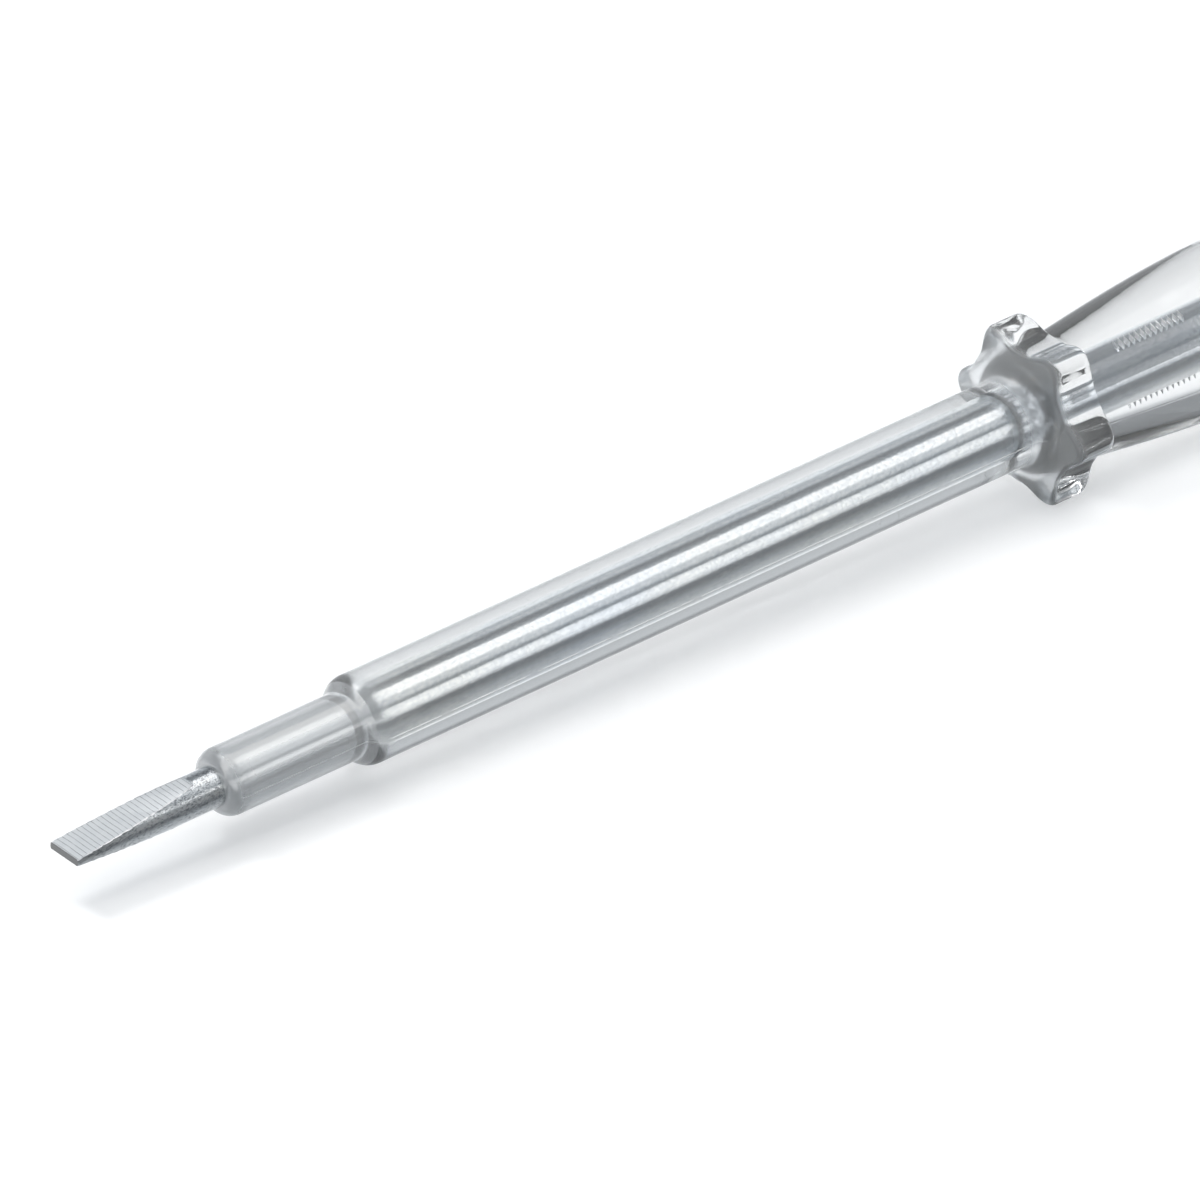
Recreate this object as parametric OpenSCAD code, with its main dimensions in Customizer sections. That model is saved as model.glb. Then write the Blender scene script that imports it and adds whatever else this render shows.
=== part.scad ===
// Single-pole voltage tester screwdriver with a clear insulating handle.
// +X runs from the blade tip to the rear cap, +Z is up as the tool lies on its star collar.
// The origin is the centre of the blade tip's end face. All sizes are in millimetres.

/* [Blade and shank] */
// Diameter of the steel rod
shank_d = 3.5; // [3:0.1:4]
// Thickness of the blade at its tip
tip_t = 0.6; // [0.4:0.05:0.8]
// Length of the ground flats, from the tip
flat_len = 12.7; // [10:0.1:14]
// Height above the axis at which each flat ends
flat_rise = 1.6; // [1.2:0.05:1.65]
// Length of bare metal ahead of the insulation
bare_len = 15.2; // [14.5:0.1:18]
// How far the rod stands into the handle's chamber
shank_nub = 1; // [0.5:0.1:2]
// Distance of the pressed wings behind the collar
wing_inset = 6; // [1:0.5:6]
// Height over the two pressed wings that stop the rod from turning
wing_span = 4.2; // [3.9:0.1:5.2]
// Thickness of the wings
wing_t = 0.9; // [0.6:0.1:1.4]
// Length of the wings
wing_len = 7; // [5:0.5:7.5]

/* [Insulating sleeve] */
// Diameter of the thin front stretch
nose_d = 5.9; // [5.4:0.1:6.4]
// Length of the thin front stretch
nose_len = 13.5; // [10:0.1:18]
// Radius round the nose's front edge
nose_round = 1.1; // [0.5:0.1:1.1]
// Radius of the fillet between nose and shoulder
nose_fillet = 0.4; // [0.2:0.1:0.6]
// Diameter of the barrel
barrel_d = 7.8; // [7.2:0.1:8.6]
// Length of the barrel
barrel_len = 72.3; // [60:0.1:90]
// Radius round the barrel's front shoulder
barrel_round = 1.9; // [0.8:0.1:2.2]

/* [Star collar] */
// Width over two opposite lobes
collar_d = 16; // [15.4:0.1:18]
// Depth of the valleys between the lobes
valley_depth = 1.7; // [1:0.1:2]
// Number of lobes
lobes = 6; // [5:1:8]
// How much narrower the lobes are than the valleys, 1 for alike
lobe_point = 1.8; // [1:0.1:2.2]
// Thickness along the axis
collar_t = 4.2; // [3:0.1:6]
// Radius round the collar's edges
collar_round = 0.7; // [0.3:0.1:1]
// Radius of the fillet from the barrel to the collar
collar_fillet = 1.7; // [1:0.1:2]

/* [Handle] */
// Diameter where the handle leaves the collar
neck_d = 11; // [10.4:0.1:11.6]
// Diameter of the grip
grip_d = 14.4; // [14:0.1:15.5]
// Length over which the handle widens
flare_len = 22; // [16:0.5:26]
// Length of the handle behind the collar
handle_len = 76.8; // [74:0.1:90]
// Radius round the rear edge
handle_round = 1.6; // [0.5:0.1:1.6]
// Number of flutes round the grip
flutes = 6; // [4:1:8]
// Radius of the tool that cuts a flute
flute_r = 3.4; // [2.5:0.1:5]
// Depth of a flute
flute_depth = 0.7; // [0.3:0.05:0.8]
// Length of plain grip behind the flutes
grip_ring = 9; // [6:0.5:14]

/* [Series resistor] */
// Length over the end caps
resistor_len = 16; // [12:0.5:17]
// Diameter of the ceramic core
core_d = 4; // [3:0.1:4.2]
// Thickness of the lacquer
lacquer_t = 0.2; // [0.1:0.05:0.3]
// Thickness of the end caps
resistor_cap_t = 0.3; // [0.2:0.05:0.4]
// Depth of the end caps
resistor_cap_len = 3; // [2:0.1:4]

/* [Glow lamp] */
// Length over the end caps, without the solder
lamp_len = 17; // [15:0.5:18]
// Diameter of the glass tube
glass_d = 4.8; // [4.6:0.1:5]
// Thickness of the glass
glass_t = 0.4; // [0.3:0.05:0.45]
// Thickness of the glass at the two sealed ends
seal_len = 1.8; // [1:0.1:2.4]
// Thickness of the cement between the glass and a cap
cement_t = 0.25; // [0.2:0.05:0.3]
// Thickness of a lamp cap
lamp_cap_t = 0.25; // [0.2:0.05:0.3]
// Depth of a lamp cap
lamp_cap_len = 3; // [2:0.1:4]
// Diameter of an electrode
electrode_d = 1; // [0.8:0.05:1.1]
// Length of an electrode
electrode_len = 7; // [5:0.5:8]
// Distance between the two electrodes' axes
electrode_pitch = 2; // [1.6:0.1:2.1]
// Diameter of a lead wire
lead_d = 0.4; // [0.3:0.05:0.5]
// Length of a lead inside the glass before it bends
lead_stub = 0.5; // [0.3:0.1:0.8]
// Length over which a lead crosses to its electrode
lead_cross = 1.5; // [1:0.1:2]
// Depth of the hole in an electrode that its lead is welded into
weld_depth = 1.6; // [1:0.1:2.5]
// Height of the solder on a lamp cap
solder_h = 0.5; // [0.3:0.1:0.8]
// Diameter of the solder on a lamp cap
solder_d = 1.8; // [1.4:0.1:2.2]

/* [Contact spring] */
// Diameter of the wire
wire_d = 0.5; // [0.4:0.05:0.55]
// Outer diameter of the spring
spring_d = 5.6; // [5.2:0.1:5.7]
// Length of the spring with the plug screwed home
spring_len = 12.9; // [11:0.1:14]
// Number of turns
spring_turns = 8; // [5:1:8]
// Pitch of the first and last turns
end_pitch = 1; // [1:0.05:1.2]

/* [Screw plug] */
// Outer diameter of the thread
thread_d = 7.6; // [7.4:0.1:8]
// Pitch of the thread
thread_pitch = 1; // [0.75:0.25:1.25]
// Depth of the thread
thread_depth = 0.5; // [0.3:0.05:0.6]
// Length of the thread that enters the handle
stem_len = 7.1; // [6:0.1:8]
// Depth of hole left free ahead of the thread
thread_runout = 1; // [0.5:0.1:2]
// Diameter of the head
head_d = 11.4; // [10.5:0.1:12]
// Length of the head
head_len = 7.5; // [6:0.1:9]
// Radius round the head's rear edge
head_round = 1.5; // [0.8:0.1:2]
// Number of knurl grooves
knurls = 30; // [20:1:32]
// Radius of a knurl groove
knurl_r = 0.35; // [0.25:0.05:0.4]
// Plain land on each side of the knurl
knurl_land = 1; // [0.6:0.1:1.4]
// Width of the slot in the head
slot_w = 1.4; // [1:0.1:2]
// Depth of the slot in the head
slot_depth = 1.6; // [1:0.1:2]
// Diameter of the spigot that centres the spring
spigot_d = 3.6; // [3:0.1:3.8]
// Length of the spigot
spigot_len = 1.6; // [1:0.1:2]

/* [Pocket clip] */
// Thickness of the spring steel sheet
sheet_t = 0.5; // [0.4:0.05:0.6]
// Outer diameter of the clip's ring
ring_d = 12.2; // [11.5:0.1:12.8]
// Width of the arm at the ring
arm_w = 5.2; // [4:0.1:6]
// Width of the arm at its free end
arm_end_w = 3.6; // [3:0.1:4]
// Length of the arm ahead of the ring
arm_len = 37; // [30:0.5:45]
// Clear height under the arm
arm_gap = 1.7; // [1.4:0.1:2.5]
// Inside radius of the bend between ring and arm
bend_r = 0.7; // [0.5:0.05:1]
// Length over which the arm dips to the grip
dip_len = 7; // [5:0.5:9]
// Length of the lifted lip at the free end
lip_len = 3; // [2:0.5:4]
// Rise of the lip's tip
lip_rise = 1.3; // [0.8:0.1:2]

/* [Fits] */
// Clearance round pieces that are pressed, cemented or welded in
press_gap = 0.02; // [0.01:0.01:0.05]
// Clearance round the parts that drop into the chamber
drop_gap = 0.2; // [0.1:0.05:0.3]
// Clearance between the thread and its hole
thread_gap = 0.06; // [0.02:0.01:0.1]
// Clearance between the clip's dip and the grip
clip_gap = 0.3; // [0.2:0.05:0.5]
// Clearance between the clip's ring and the thread
ring_gap = 0.15; // [0.1:0.05:0.3]
// Clearance at the line where the clip's arm bends
flex_gap = 0.12; // [0.1:0.02:0.2]

/* [Hidden] */

// Cuts run this far past the faces that they open
past = 1;
// Angle between the points that draw a curve
arc_step = 10;
// Sides of the large and small round forms
round_fn = 96;
small_fn = 48;

// Places along the axis, from the tip
barrel_x = bare_len + nose_len;
collar_x = barrel_x + barrel_len;
neck_x = collar_x + collar_t;
flare_x = neck_x + flare_len;
rear_x = neck_x + handle_len;
head_x = rear_x + sheet_t;
cap_end_x = head_x + head_len;
wing_x = neck_x + wing_inset;

// The chamber's stack, laid out forward from the plug's thread
stem_x = rear_x - stem_len;
lamp_x2 = stem_x - spring_len;
lamp_x1 = lamp_x2 - lamp_len;
resistor_x2 = lamp_x1 - solder_h;
resistor_x1 = resistor_x2 - resistor_len;
chamber_x = resistor_x1 - shank_nub;
lamp_mid = (lamp_x1 + lamp_x2) / 2;
resistor_mid = (resistor_x1 + resistor_x2) / 2;

// Stepped bore of the chamber
resistor_d = core_d + 2 * max(lacquer_t, press_gap + resistor_cap_t);
glass_room_d = glass_d + 2 * press_gap;
cap_room_d = glass_room_d + 2 * cement_t + 2 * press_gap;
lamp_d = cap_room_d + 2 * lamp_cap_t;
resistor_bore_d = resistor_d + 2 * drop_gap;
lamp_bore_d = lamp_d + 2 * drop_gap;
thread_bore_d = thread_d + 2 * thread_gap;
lamp_bore_x = resistor_x2 - drop_gap;
thread_bore_x = stem_x - thread_runout;

// Lamp insides
glass_x = lamp_x1 + lamp_cap_t;
lead_x = lamp_x1 - solder_h / 2;
lead_bend_x = glass_x + seal_len + lead_stub;
electrode_x = lead_bend_x + lead_cross;
electrode_z = electrode_pitch / 2;

valley_r = collar_d / 2 - valley_depth;
flute_out = grip_d / 2 + flute_r - flute_depth;

// Clip: places of the bend and of the arm's middle surface
arm_z = grip_d / 2 + arm_gap;
bend_x = rear_x - bend_r;
bend_z = arm_z - bend_r;
arm_x = rear_x - arm_len;
dip_z = grip_d / 2 + clip_gap;
// The arm's flat stretch and its bend share this short overlap
bend_lap = 0.03;

plastic_colour = [0.86, 0.89, 0.9, 0.45];
steel_colour = [0.72, 0.73, 0.75];
nickel_colour = [0.78, 0.77, 0.74];
brass_colour = [0.82, 0.7, 0.42];

// Points of an arc from one angle to another, about a centre
function arc(centre, r, from, to) =
    let (steps = max(2, ceil(abs(to - from) / arc_step)))
    [for (i = [0 : steps])
        let (a = from + (to - from) * i / steps)
        centre + r * [cos(a), sin(a)]];

// Turns a profile of [distance along the axis, radius] points about the X axis
module turned(profile, fn = round_fn) {
    rotate([0, 90, 0])
        rotate_extrude($fn = fn)
            polygon([for (p = profile) [p[1], p[0]]]);
}

// A straight rod or hole along X
module rod(x1, x2, d, fn = small_fn) {
    translate([x1, 0, 0])
        rotate([0, 90, 0])
            cylinder(h = x2 - x1, d = d, $fn = fn);
}

// A tube along X
module tube(x1, x2, d, bore_d) {
    difference() {
        rod(x1, x2, d);
        rod(x1 - past, x2 + past, bore_d);
    }
}

// A round wire swept along a path, with a sideways direction for each of its points
module wire(path, sideways, d, sides) {
    last = len(path) - 1;
    rings = [for (i = [0 : last])
        let (
            along = path[min(i + 1, last)] - path[max(i - 1, 0)],
            t = along / norm(along),
            flat = sideways[i] - (sideways[i] * t) * t,
            n = flat / norm(flat),
            b = cross(t, n)
        )
        each [for (k = [0 : sides - 1])
            let (a = 360 * k / sides)
            path[i] + d / 2 * (cos(a) * n + sin(a) * b)]];
    walls = [for (i = [0 : last - 1], k = [0 : sides - 1])
        let (
            a = i * sides + k,
            b = i * sides + (k + 1) % sides
        )
        each [[a, a + sides, b], [b, a + sides, b + sides]]];
    end_a = [for (k = [0 : sides - 1]) k];
    end_b = [for (k = [sides - 1 : -1 : 0]) last * sides + k];
    polyhedron(points = rings, faces = concat(walls, [end_a, end_b]));
}

// The same piece at the other end of what is centred on x = middle
module other_end(middle) {
    translate([2 * middle, 0, 0]) rotate([0, 180, 0]) children();
}

// Steel that the grinder takes off above one flat
module flat_cut() {
    slope = (flat_rise - tip_t / 2) / flat_len;
    translate([0, shank_d, 0])
        rotate([90, 0, 0])
            linear_extrude(height = 2 * shank_d)
                polygon([
                    [-past, tip_t / 2 - past * slope],
                    [flat_len, flat_rise],
                    [flat_len, shank_d],
                    [-past, shank_d]
                ]);
}

module wings(gap = 0) {
    translate([wing_x - gap, -wing_t / 2 - gap, -wing_span / 2 - gap])
        cube([wing_len + 2 * gap, wing_t + 2 * gap, wing_span + 2 * gap]);
}

module blade_shank() {
    color(steel_colour)
        difference() {
            union() {
                rod(0, resistor_x1, shank_d, round_fn);
                wings();
            }
            flat_cut();
            mirror([0, 0, 1]) flat_cut();
        }
}

// Centre of the barrel's shoulder and of the small fillet that runs into it from the nose
shoulder_c = [barrel_x + barrel_round, barrel_d / 2 - barrel_round];
fillet_z = nose_d / 2 + nose_fillet;
shoulder_a = asin((fillet_z - shoulder_c[1]) / (barrel_round + nose_fillet));
fillet_c = [shoulder_c[0] - (barrel_round + nose_fillet) * cos(shoulder_a), fillet_z];

// Nose, barrel, root of the collar, flare and grip
body_profile = concat(
    [[bare_len, 0]],
    arc([bare_len + nose_round, nose_d / 2 - nose_round], nose_round, 180, 90),
    arc(fillet_c, nose_fillet, 270, 360 - shoulder_a),
    arc(shoulder_c, barrel_round, 180 - shoulder_a, 90),
    arc([collar_x - collar_fillet, barrel_d / 2 + collar_fillet], collar_fillet, 270, 360),
    [[neck_x, barrel_d / 2 + collar_fillet]],
    [for (i = [0 : 9])
        let (a = 10 * i)
        [neck_x + flare_len * i / 9, (neck_d + (grip_d - neck_d) * sin(a)) / 2]],
    arc([rear_x - handle_round, grip_d / 2 - handle_round], handle_round, 90, 0),
    [[rear_x, 0]]
);

// Outline of the star, a smooth wave round a circle, with a valley straight down
module star_outline() {
    polygon([for (a = [0 : 3 : 357])
        (valley_r + valley_depth * pow((1 - cos(lobes * a)) / 2, lobe_point)) * [sin(a), -cos(a)]]);
}

module collar() {
    intersection() {
        translate([collar_x, 0, 0])
            rotate([90, 0, 90])
                linear_extrude(height = collar_t)
                    star_outline();
        turned(concat(
            [[collar_x, 0]],
            arc([collar_x + collar_round, collar_d / 2 - collar_round], collar_round, 180, 90),
            arc([neck_x - collar_round, collar_d / 2 - collar_round], collar_round, 90, 0),
            [[neck_x, 0]]
        ));
    }
}

module flute(angle) {
    rotate([angle, 0, 0])
        translate([0, 0, flute_out]) {
            rod(flare_x + flute_r, rear_x - grip_ring - flute_r, 2 * flute_r);
            translate([flare_x + flute_r, 0, 0]) sphere(r = flute_r, $fn = small_fn);
            translate([rear_x - grip_ring - flute_r, 0, 0]) sphere(r = flute_r, $fn = small_fn);
        }
}

module clear_body() {
    color(plastic_colour)
        difference() {
            union() {
                turned(body_profile);
                collar();
            }
            rod(bare_len - past, chamber_x + past, shank_d + 2 * press_gap, round_fn);
            wings(press_gap);
            rod(chamber_x, rear_x + past, resistor_bore_d);
            rod(lamp_bore_x, rear_x + past, lamp_bore_d);
            rod(thread_bore_x, rear_x + past, thread_bore_d);
            for (i = [0 : flutes - 1])
                flute(360 * (i + 0.5) / flutes);
        }
}

module resistor_core() {
    color("tan")
        rod(resistor_x1 + resistor_cap_t, resistor_x2 - resistor_cap_t, core_d);
}

module resistor_lacquer() {
    color([0.45, 0.62, 0.66])
        tube(resistor_x1 + resistor_cap_len, resistor_x2 - resistor_cap_len,
            core_d + 2 * lacquer_t, core_d + press_gap);
}

module resistor_cap() {
    inside_d = core_d + 2 * press_gap;
    color("silver")
        difference() {
            rod(resistor_x1, resistor_x1 + resistor_cap_len, inside_d + 2 * resistor_cap_t);
            rod(resistor_x1 + resistor_cap_t, resistor_x1 + resistor_cap_len + past, inside_d);
        }
}

module lamp_glass() {
    color([0.85, 0.9, 0.92, 0.4])
        difference() {
            rod(glass_x, 2 * lamp_mid - glass_x, glass_d);
            rod(glass_x + seal_len, 2 * lamp_mid - glass_x - seal_len, glass_d - 2 * glass_t);
            rod(lamp_x1, lamp_x2, lead_d + 2 * press_gap);
        }
}

module lamp_electrode() {
    color(nickel_colour)
        translate([0, 0, electrode_z])
            difference() {
                rod(electrode_x, electrode_x + electrode_len, electrode_d);
                rod(electrode_x - past, electrode_x + weld_depth, lead_d + 2 * press_gap);
            }
}

// The wire from the solder through the cap and the glass, across and into the electrode
lead_path = [
    [lead_x, 0, 0],
    [lead_bend_x, 0, 0],
    [electrode_x - lead_d, 0, electrode_z],
    [electrode_x + weld_depth - press_gap, 0, electrode_z]
];

module lamp_lead() {
    color("peru") wire(lead_path, [for (p = lead_path) [0, 1, 0]], lead_d, 16);
}

module lamp_cement() {
    color("khaki")
        tube(glass_x, lamp_x1 + lamp_cap_len, glass_room_d + 2 * cement_t, glass_room_d);
}

module lamp_cap() {
    color(brass_colour)
        difference() {
            rod(lamp_x1, lamp_x1 + lamp_cap_len, lamp_d);
            rod(glass_x, lamp_x1 + lamp_cap_len + past, cap_room_d);
            rod(lamp_x1 - past, glass_x + past, lead_d + 2 * press_gap);
        }
}

// A low dome of solder over the end of the lead
module lamp_solder() {
    dome_r = (pow(solder_d / 2, 2) + pow(solder_h, 2)) / 2 / solder_h;
    rim_a = asin(solder_d / 2 / dome_r);
    color("gainsboro")
        difference() {
            turned(concat(
                arc([lamp_x1 - solder_h + dome_r, 0], dome_r, 180, 180 - rim_a),
                [[lamp_x1, 0]]
            ), small_fn);
            rod(lead_x - press_gap, lamp_x1 + past, lead_d + 2 * press_gap);
        }
}

// Path of the spring's wire: a short straight end, turns with closer ends, and a straight end
coil_r = (spring_d - wire_d) / 2;
coil_steps = 8;
coil_len = spring_len - 2 * wire_d;
mid_pitch = (coil_len - 2 * end_pitch) / (spring_turns - 2);

// Distance along the axis after t turns
function coil_x(t) =
    min(t, 1) * end_pitch
    + min(max(t - 1, 0), spring_turns - 2) * mid_pitch
    + max(t - spring_turns + 1, 0) * end_pitch;

function coil_point(x, t) = [lamp_x2 + x, coil_r * cos(360 * t), coil_r * sin(360 * t)];

coil_path = concat(
    [coil_point(0, 0)],
    [for (i = [0 : spring_turns * coil_steps])
        let (t = i / coil_steps)
        coil_point(wire_d + coil_x(t), t)],
    [coil_point(spring_len, spring_turns)]
);

// Least gap of the wire to itself, over points at least three quarters of a turn apart
coil_gap = min([for (i = [0 : len(coil_path) - 1], j = [i + 6 : 1 : len(coil_path) - 1])
    norm(coil_path[i] - coil_path[j])]) - wire_d;
echo(str("Least gap of the contact spring to itself: ", coil_gap, " mm"));

module contact_spring() {
    color("silver") wire(coil_path, [for (p = coil_path) [0, p[1], p[2]]], wire_d, 6);
}

// Crests and roots of the thread, as rings
thread_turns = floor(stem_len / thread_pitch);
thread_profile = [for (i = [0 : thread_turns - 1])
    let (x = stem_x + (i + 0.25) * thread_pitch)
    each [
        [x, thread_d / 2],
        [x + thread_pitch / 4, thread_d / 2],
        [x + thread_pitch / 2, thread_d / 2 - thread_depth],
        [x + thread_pitch * 5 / 8, thread_d / 2 - thread_depth]
    ]];

module screw_plug() {
    color(nickel_colour)
        difference() {
            turned(concat(
                [[stem_x - spigot_len, 0], [stem_x - spigot_len, spigot_d / 2],
                    [stem_x, spigot_d / 2], [stem_x, thread_d / 2 - thread_depth]],
                thread_profile,
                [[head_x, thread_d / 2 - thread_depth], [head_x, head_d / 2]],
                arc([cap_end_x - head_round, head_d / 2 - head_round], head_round, 90, 0),
                [[cap_end_x, 0]]
            ));
            for (i = [0 : knurls - 1])
                rotate([360 * i / knurls, 0, 0])
                    translate([0, 0, head_d / 2])
                        rod(head_x + knurl_land, cap_end_x - head_round - knurl_land,
                            2 * knurl_r, 16);
            translate([cap_end_x - slot_depth, -slot_w / 2, -head_d])
                cube([slot_depth + past, slot_w, 2 * head_d]);
        }
}

module clip_ring() {
    color(steel_colour)
        difference() {
            union() {
                rod(rear_x, head_x, ring_d);
                translate([rear_x, -arm_w / 2, 0])
                    cube([sheet_t, arm_w, bend_z - flex_gap]);
            }
            rod(rear_x - past, head_x + past, thread_d + 2 * ring_gap);
        }
}

// Underside of the arm in side view, from a short lap over the bend to the lip's tip
arm_under = concat(
    [[bend_x + bend_lap, arm_z]],
    [for (i = [0 : 6])
        let (u = i / 6)
        [arm_x + lip_len + dip_len * (1 - u), dip_z + (arm_z - dip_z) * (1 + cos(180 * u)) / 2]],
    [for (i = [1 : 3])
        let (u = i / 3)
        [arm_x + lip_len * (1 - u), dip_z + lip_rise * u * u]]
);

// A quarter of a tube along Y, from the ring's riser to the arm
module bend() {
    width = arm_w + 2 * past;
    outer_d = 2 * (bend_r + sheet_t);
    intersection() {
        translate([bend_x, width / 2, bend_z])
            rotate([90, 0, 0])
                difference() {
                    cylinder(h = width, d = outer_d, $fn = small_fn);
                    translate([0, 0, -past])
                        cylinder(h = width + 2 * past, r = bend_r, $fn = small_fn);
                }
        translate([bend_x, -width / 2, bend_z]) cube([outer_d, width, outer_d]);
    }
}

module clip_arm() {
    color(steel_colour)
        intersection() {
            union() {
                bend();
                translate([0, arm_w / 2 + past, 0])
                    rotate([90, 0, 0])
                        linear_extrude(height = arm_w + 2 * past)
                            polygon(concat(
                                arm_under,
                                [for (i = [len(arm_under) - 1 : -1 : 0]) arm_under[i] + [0, sheet_t]]
                            ));
            }
            linear_extrude(height = arm_z + past + sheet_t)
                polygon([
                    [head_x + past, -arm_w / 2], [bend_x, -arm_w / 2], [arm_x, -arm_end_w / 2],
                    [arm_x, arm_end_w / 2], [bend_x, arm_w / 2], [head_x + past, arm_w / 2]
                ]);
        }
}

blade_shank();
clear_body();
resistor_core();
resistor_lacquer();
resistor_cap();  // resistor_front_cap
other_end(resistor_mid) resistor_cap();  // resistor_rear_cap
lamp_glass();
lamp_electrode();  // lamp_front_electrode
other_end(lamp_mid) lamp_electrode();  // lamp_rear_electrode
lamp_lead();  // lamp_front_lead
other_end(lamp_mid) lamp_lead();  // lamp_rear_lead
lamp_cement();  // lamp_front_cement
other_end(lamp_mid) lamp_cement();  // lamp_rear_cement
lamp_cap();  // lamp_front_cap
other_end(lamp_mid) lamp_cap();  // lamp_rear_cap
lamp_solder();  // lamp_front_solder
other_end(lamp_mid) lamp_solder();  // lamp_rear_solder
contact_spring();
screw_plug();
clip_ring();
clip_arm();
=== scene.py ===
# Single-pole voltage tester screwdriver: finishes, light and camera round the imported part.
import math

import bmesh
import bpy
from mathutils import Matrix, Vector, noise


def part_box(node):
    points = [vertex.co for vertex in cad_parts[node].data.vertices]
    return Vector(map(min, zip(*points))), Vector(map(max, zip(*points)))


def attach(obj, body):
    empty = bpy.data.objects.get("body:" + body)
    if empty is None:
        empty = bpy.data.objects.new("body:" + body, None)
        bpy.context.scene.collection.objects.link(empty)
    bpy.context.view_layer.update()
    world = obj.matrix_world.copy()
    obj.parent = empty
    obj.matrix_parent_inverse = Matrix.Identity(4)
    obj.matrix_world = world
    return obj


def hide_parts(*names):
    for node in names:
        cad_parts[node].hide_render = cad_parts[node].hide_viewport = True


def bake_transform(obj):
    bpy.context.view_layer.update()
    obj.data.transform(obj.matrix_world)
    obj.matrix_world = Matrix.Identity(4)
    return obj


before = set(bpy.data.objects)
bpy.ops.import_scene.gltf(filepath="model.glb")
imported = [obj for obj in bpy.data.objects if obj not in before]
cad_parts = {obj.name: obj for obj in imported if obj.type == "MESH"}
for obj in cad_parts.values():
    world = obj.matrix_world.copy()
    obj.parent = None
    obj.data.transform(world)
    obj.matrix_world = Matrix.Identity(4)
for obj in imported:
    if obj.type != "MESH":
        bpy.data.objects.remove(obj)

MM = 0.001
SCENE = bpy.context.scene
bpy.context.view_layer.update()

# Camera: the photograph's viewing direction, seen through a long lens
CAMERA_AZIMUTH = math.radians(-39.98)
CAMERA_ELEVATION = math.radians(33.09)
CAMERA_DISTANCE = 1.55
CAMERA_LENS = 570.1
CAMERA_RIGHT_SHIFT = -1.38 * MM
CAMERA_UP_SHIFT = 0.09 * MM
PICTURE_CENTRE = Vector((57.7 * MM, 0, 0))

# Clear moulding, front to back, in radii and places along the axis
nose_box, body_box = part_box("clear_body")
NOSE_X = nose_box.x
REAR_X = body_box.x
NOSE_R = 2.95 * MM
NOSE_ROUND = 1.15 * MM
NOSE_ROUND_LENGTH = 1.4 * MM
NOSE_FILLET = 0.4 * MM
BARREL_X = NOSE_X + 13.5 * MM
BARREL_R = 3.9 * MM
BARREL_ROUND = 1.9 * MM
COLLAR_X = BARREL_X + 72.3 * MM
COLLAR_FILLET = 1.7 * MM
COLLAR_FRONT_ROUND = 0.8 * MM
COLLAR_REAR_ROUND = 1.1 * MM
LOBE_R = body_box.y
VALLEY_DEPTH = 1.7 * MM
LOBE_POINT = 1.8
LOBES = 6
NECK_X = COLLAR_X + 4.2 * MM
NECK_R = 5.5 * MM
NECK_FILLET = 0.35 * MM
GRIP_R = 7.2 * MM
FLARE_LENGTH = 22 * MM
REAR_ROUND = 1.6 * MM
FLUTES = 6
FLUTE_R = 3.4 * MM
FLUTE_DEPTH = 0.7 * MM
GRIP_RING = 9 * MM
GRIP_FLUTED_R = GRIP_R * 0.8
BORE_EDGE = 0.15 * MM
SEAM_HEIGHT = 0.025 * MM
SEAM_HALF_WIDTH = 0.04 * MM
SEAM_MEAN = 0.55
SEAM_WANDER = 0.45
SEAM_SHOWS = 0.35
NOSE_STEPS = 12
FLARE_STEPS = 30

# Steel rod and blade
SHANK_R = 1.75 * MM
SHANK_END_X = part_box("blade_shank")[1].x
TIP_HALF = 0.3 * MM
FLAT_LENGTH = 12.7 * MM
FLAT_RISE = 1.6 * MM
GROOVE_PITCH = 0.478 * MM
BURR = 0.07 * MM
BURR_RAGGED = 0.8
BURR_GRAIN = 3
BURR_ANGLE = math.radians(15)
RING_PITCH = 0.43 * MM
RINGS_X = 16.5 * MM
RINGS_HALF = 1.1 * MM
WING_X = NECK_X + 6 * MM
WING_LENGTH = 7 * MM
WING_SPAN_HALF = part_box("blade_shank")[1].z
WING_HALF = 0.45 * MM
TOOTH_PITCH = 0.58 * MM
TOOTH_ROWS = 8
TOOTH_SHARPNESS = 4
# The moulding grips the rod, so its bore lies just under the steel and leaves no film of air
ROD_BORE_R = SHANK_R - 0.01 * MM
SEAM_INNER_R = ROD_BORE_R * 1.2

# Chamber behind the rod
RESISTOR_BORE_R = 2.52 * MM
LAMP_BORE_R = 3.14 * MM
THREAD_BORE_R = 3.86 * MM
CHAMBER_X = SHANK_END_X - 1 * MM
LAMP_BORE_X = 144.3 * MM
THREAD_BORE_X = 173.9 * MM

# Lamp and resistor
SHEET_ROUND = 0.35 * MM
RESISTOR_CAP_WALL = 0.3 * MM
LAMP_CAP_WALL = 0.25 * MM
GLASS_WALL = 0.4 * MM
GLASS_SEAL = 1.8 * MM
LEAD_R = 0.2 * MM
LEAD_HOLE_R = 0.22 * MM
ELECTRODE_Z = 1 * MM
# Where a lead goes out to its electrode: millimetres from its end, and shares of the electrode's height
LEAD_BENDS = [(0, 0), (1, 0), (2.8, 0), (3.2, 0.2), (3.6, 0.9), (4.1, 1)]

# Contact spring
WIRE_R = 0.25 * MM
END_TURN_PITCH = 0.6 * MM
SPRING_TURNS = 8

# Screw plug
PLUG_X1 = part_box("screw_plug")[0].x
PLUG_X2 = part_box("screw_plug")[1].x
HEAD_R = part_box("screw_plug")[1].y
SPIGOT_R = 1.8 * MM
STEM_X = PLUG_X1 + 1.6 * MM
STEM_R = SPIGOT_R * 1.7
LEAD_IN_SLOPE = 0.9
THREAD_R = 3.8 * MM
THREAD_DEPTH = 0.5 * MM
THREAD_PITCH = 1 * MM
THREAD_ROWS = 84
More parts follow.
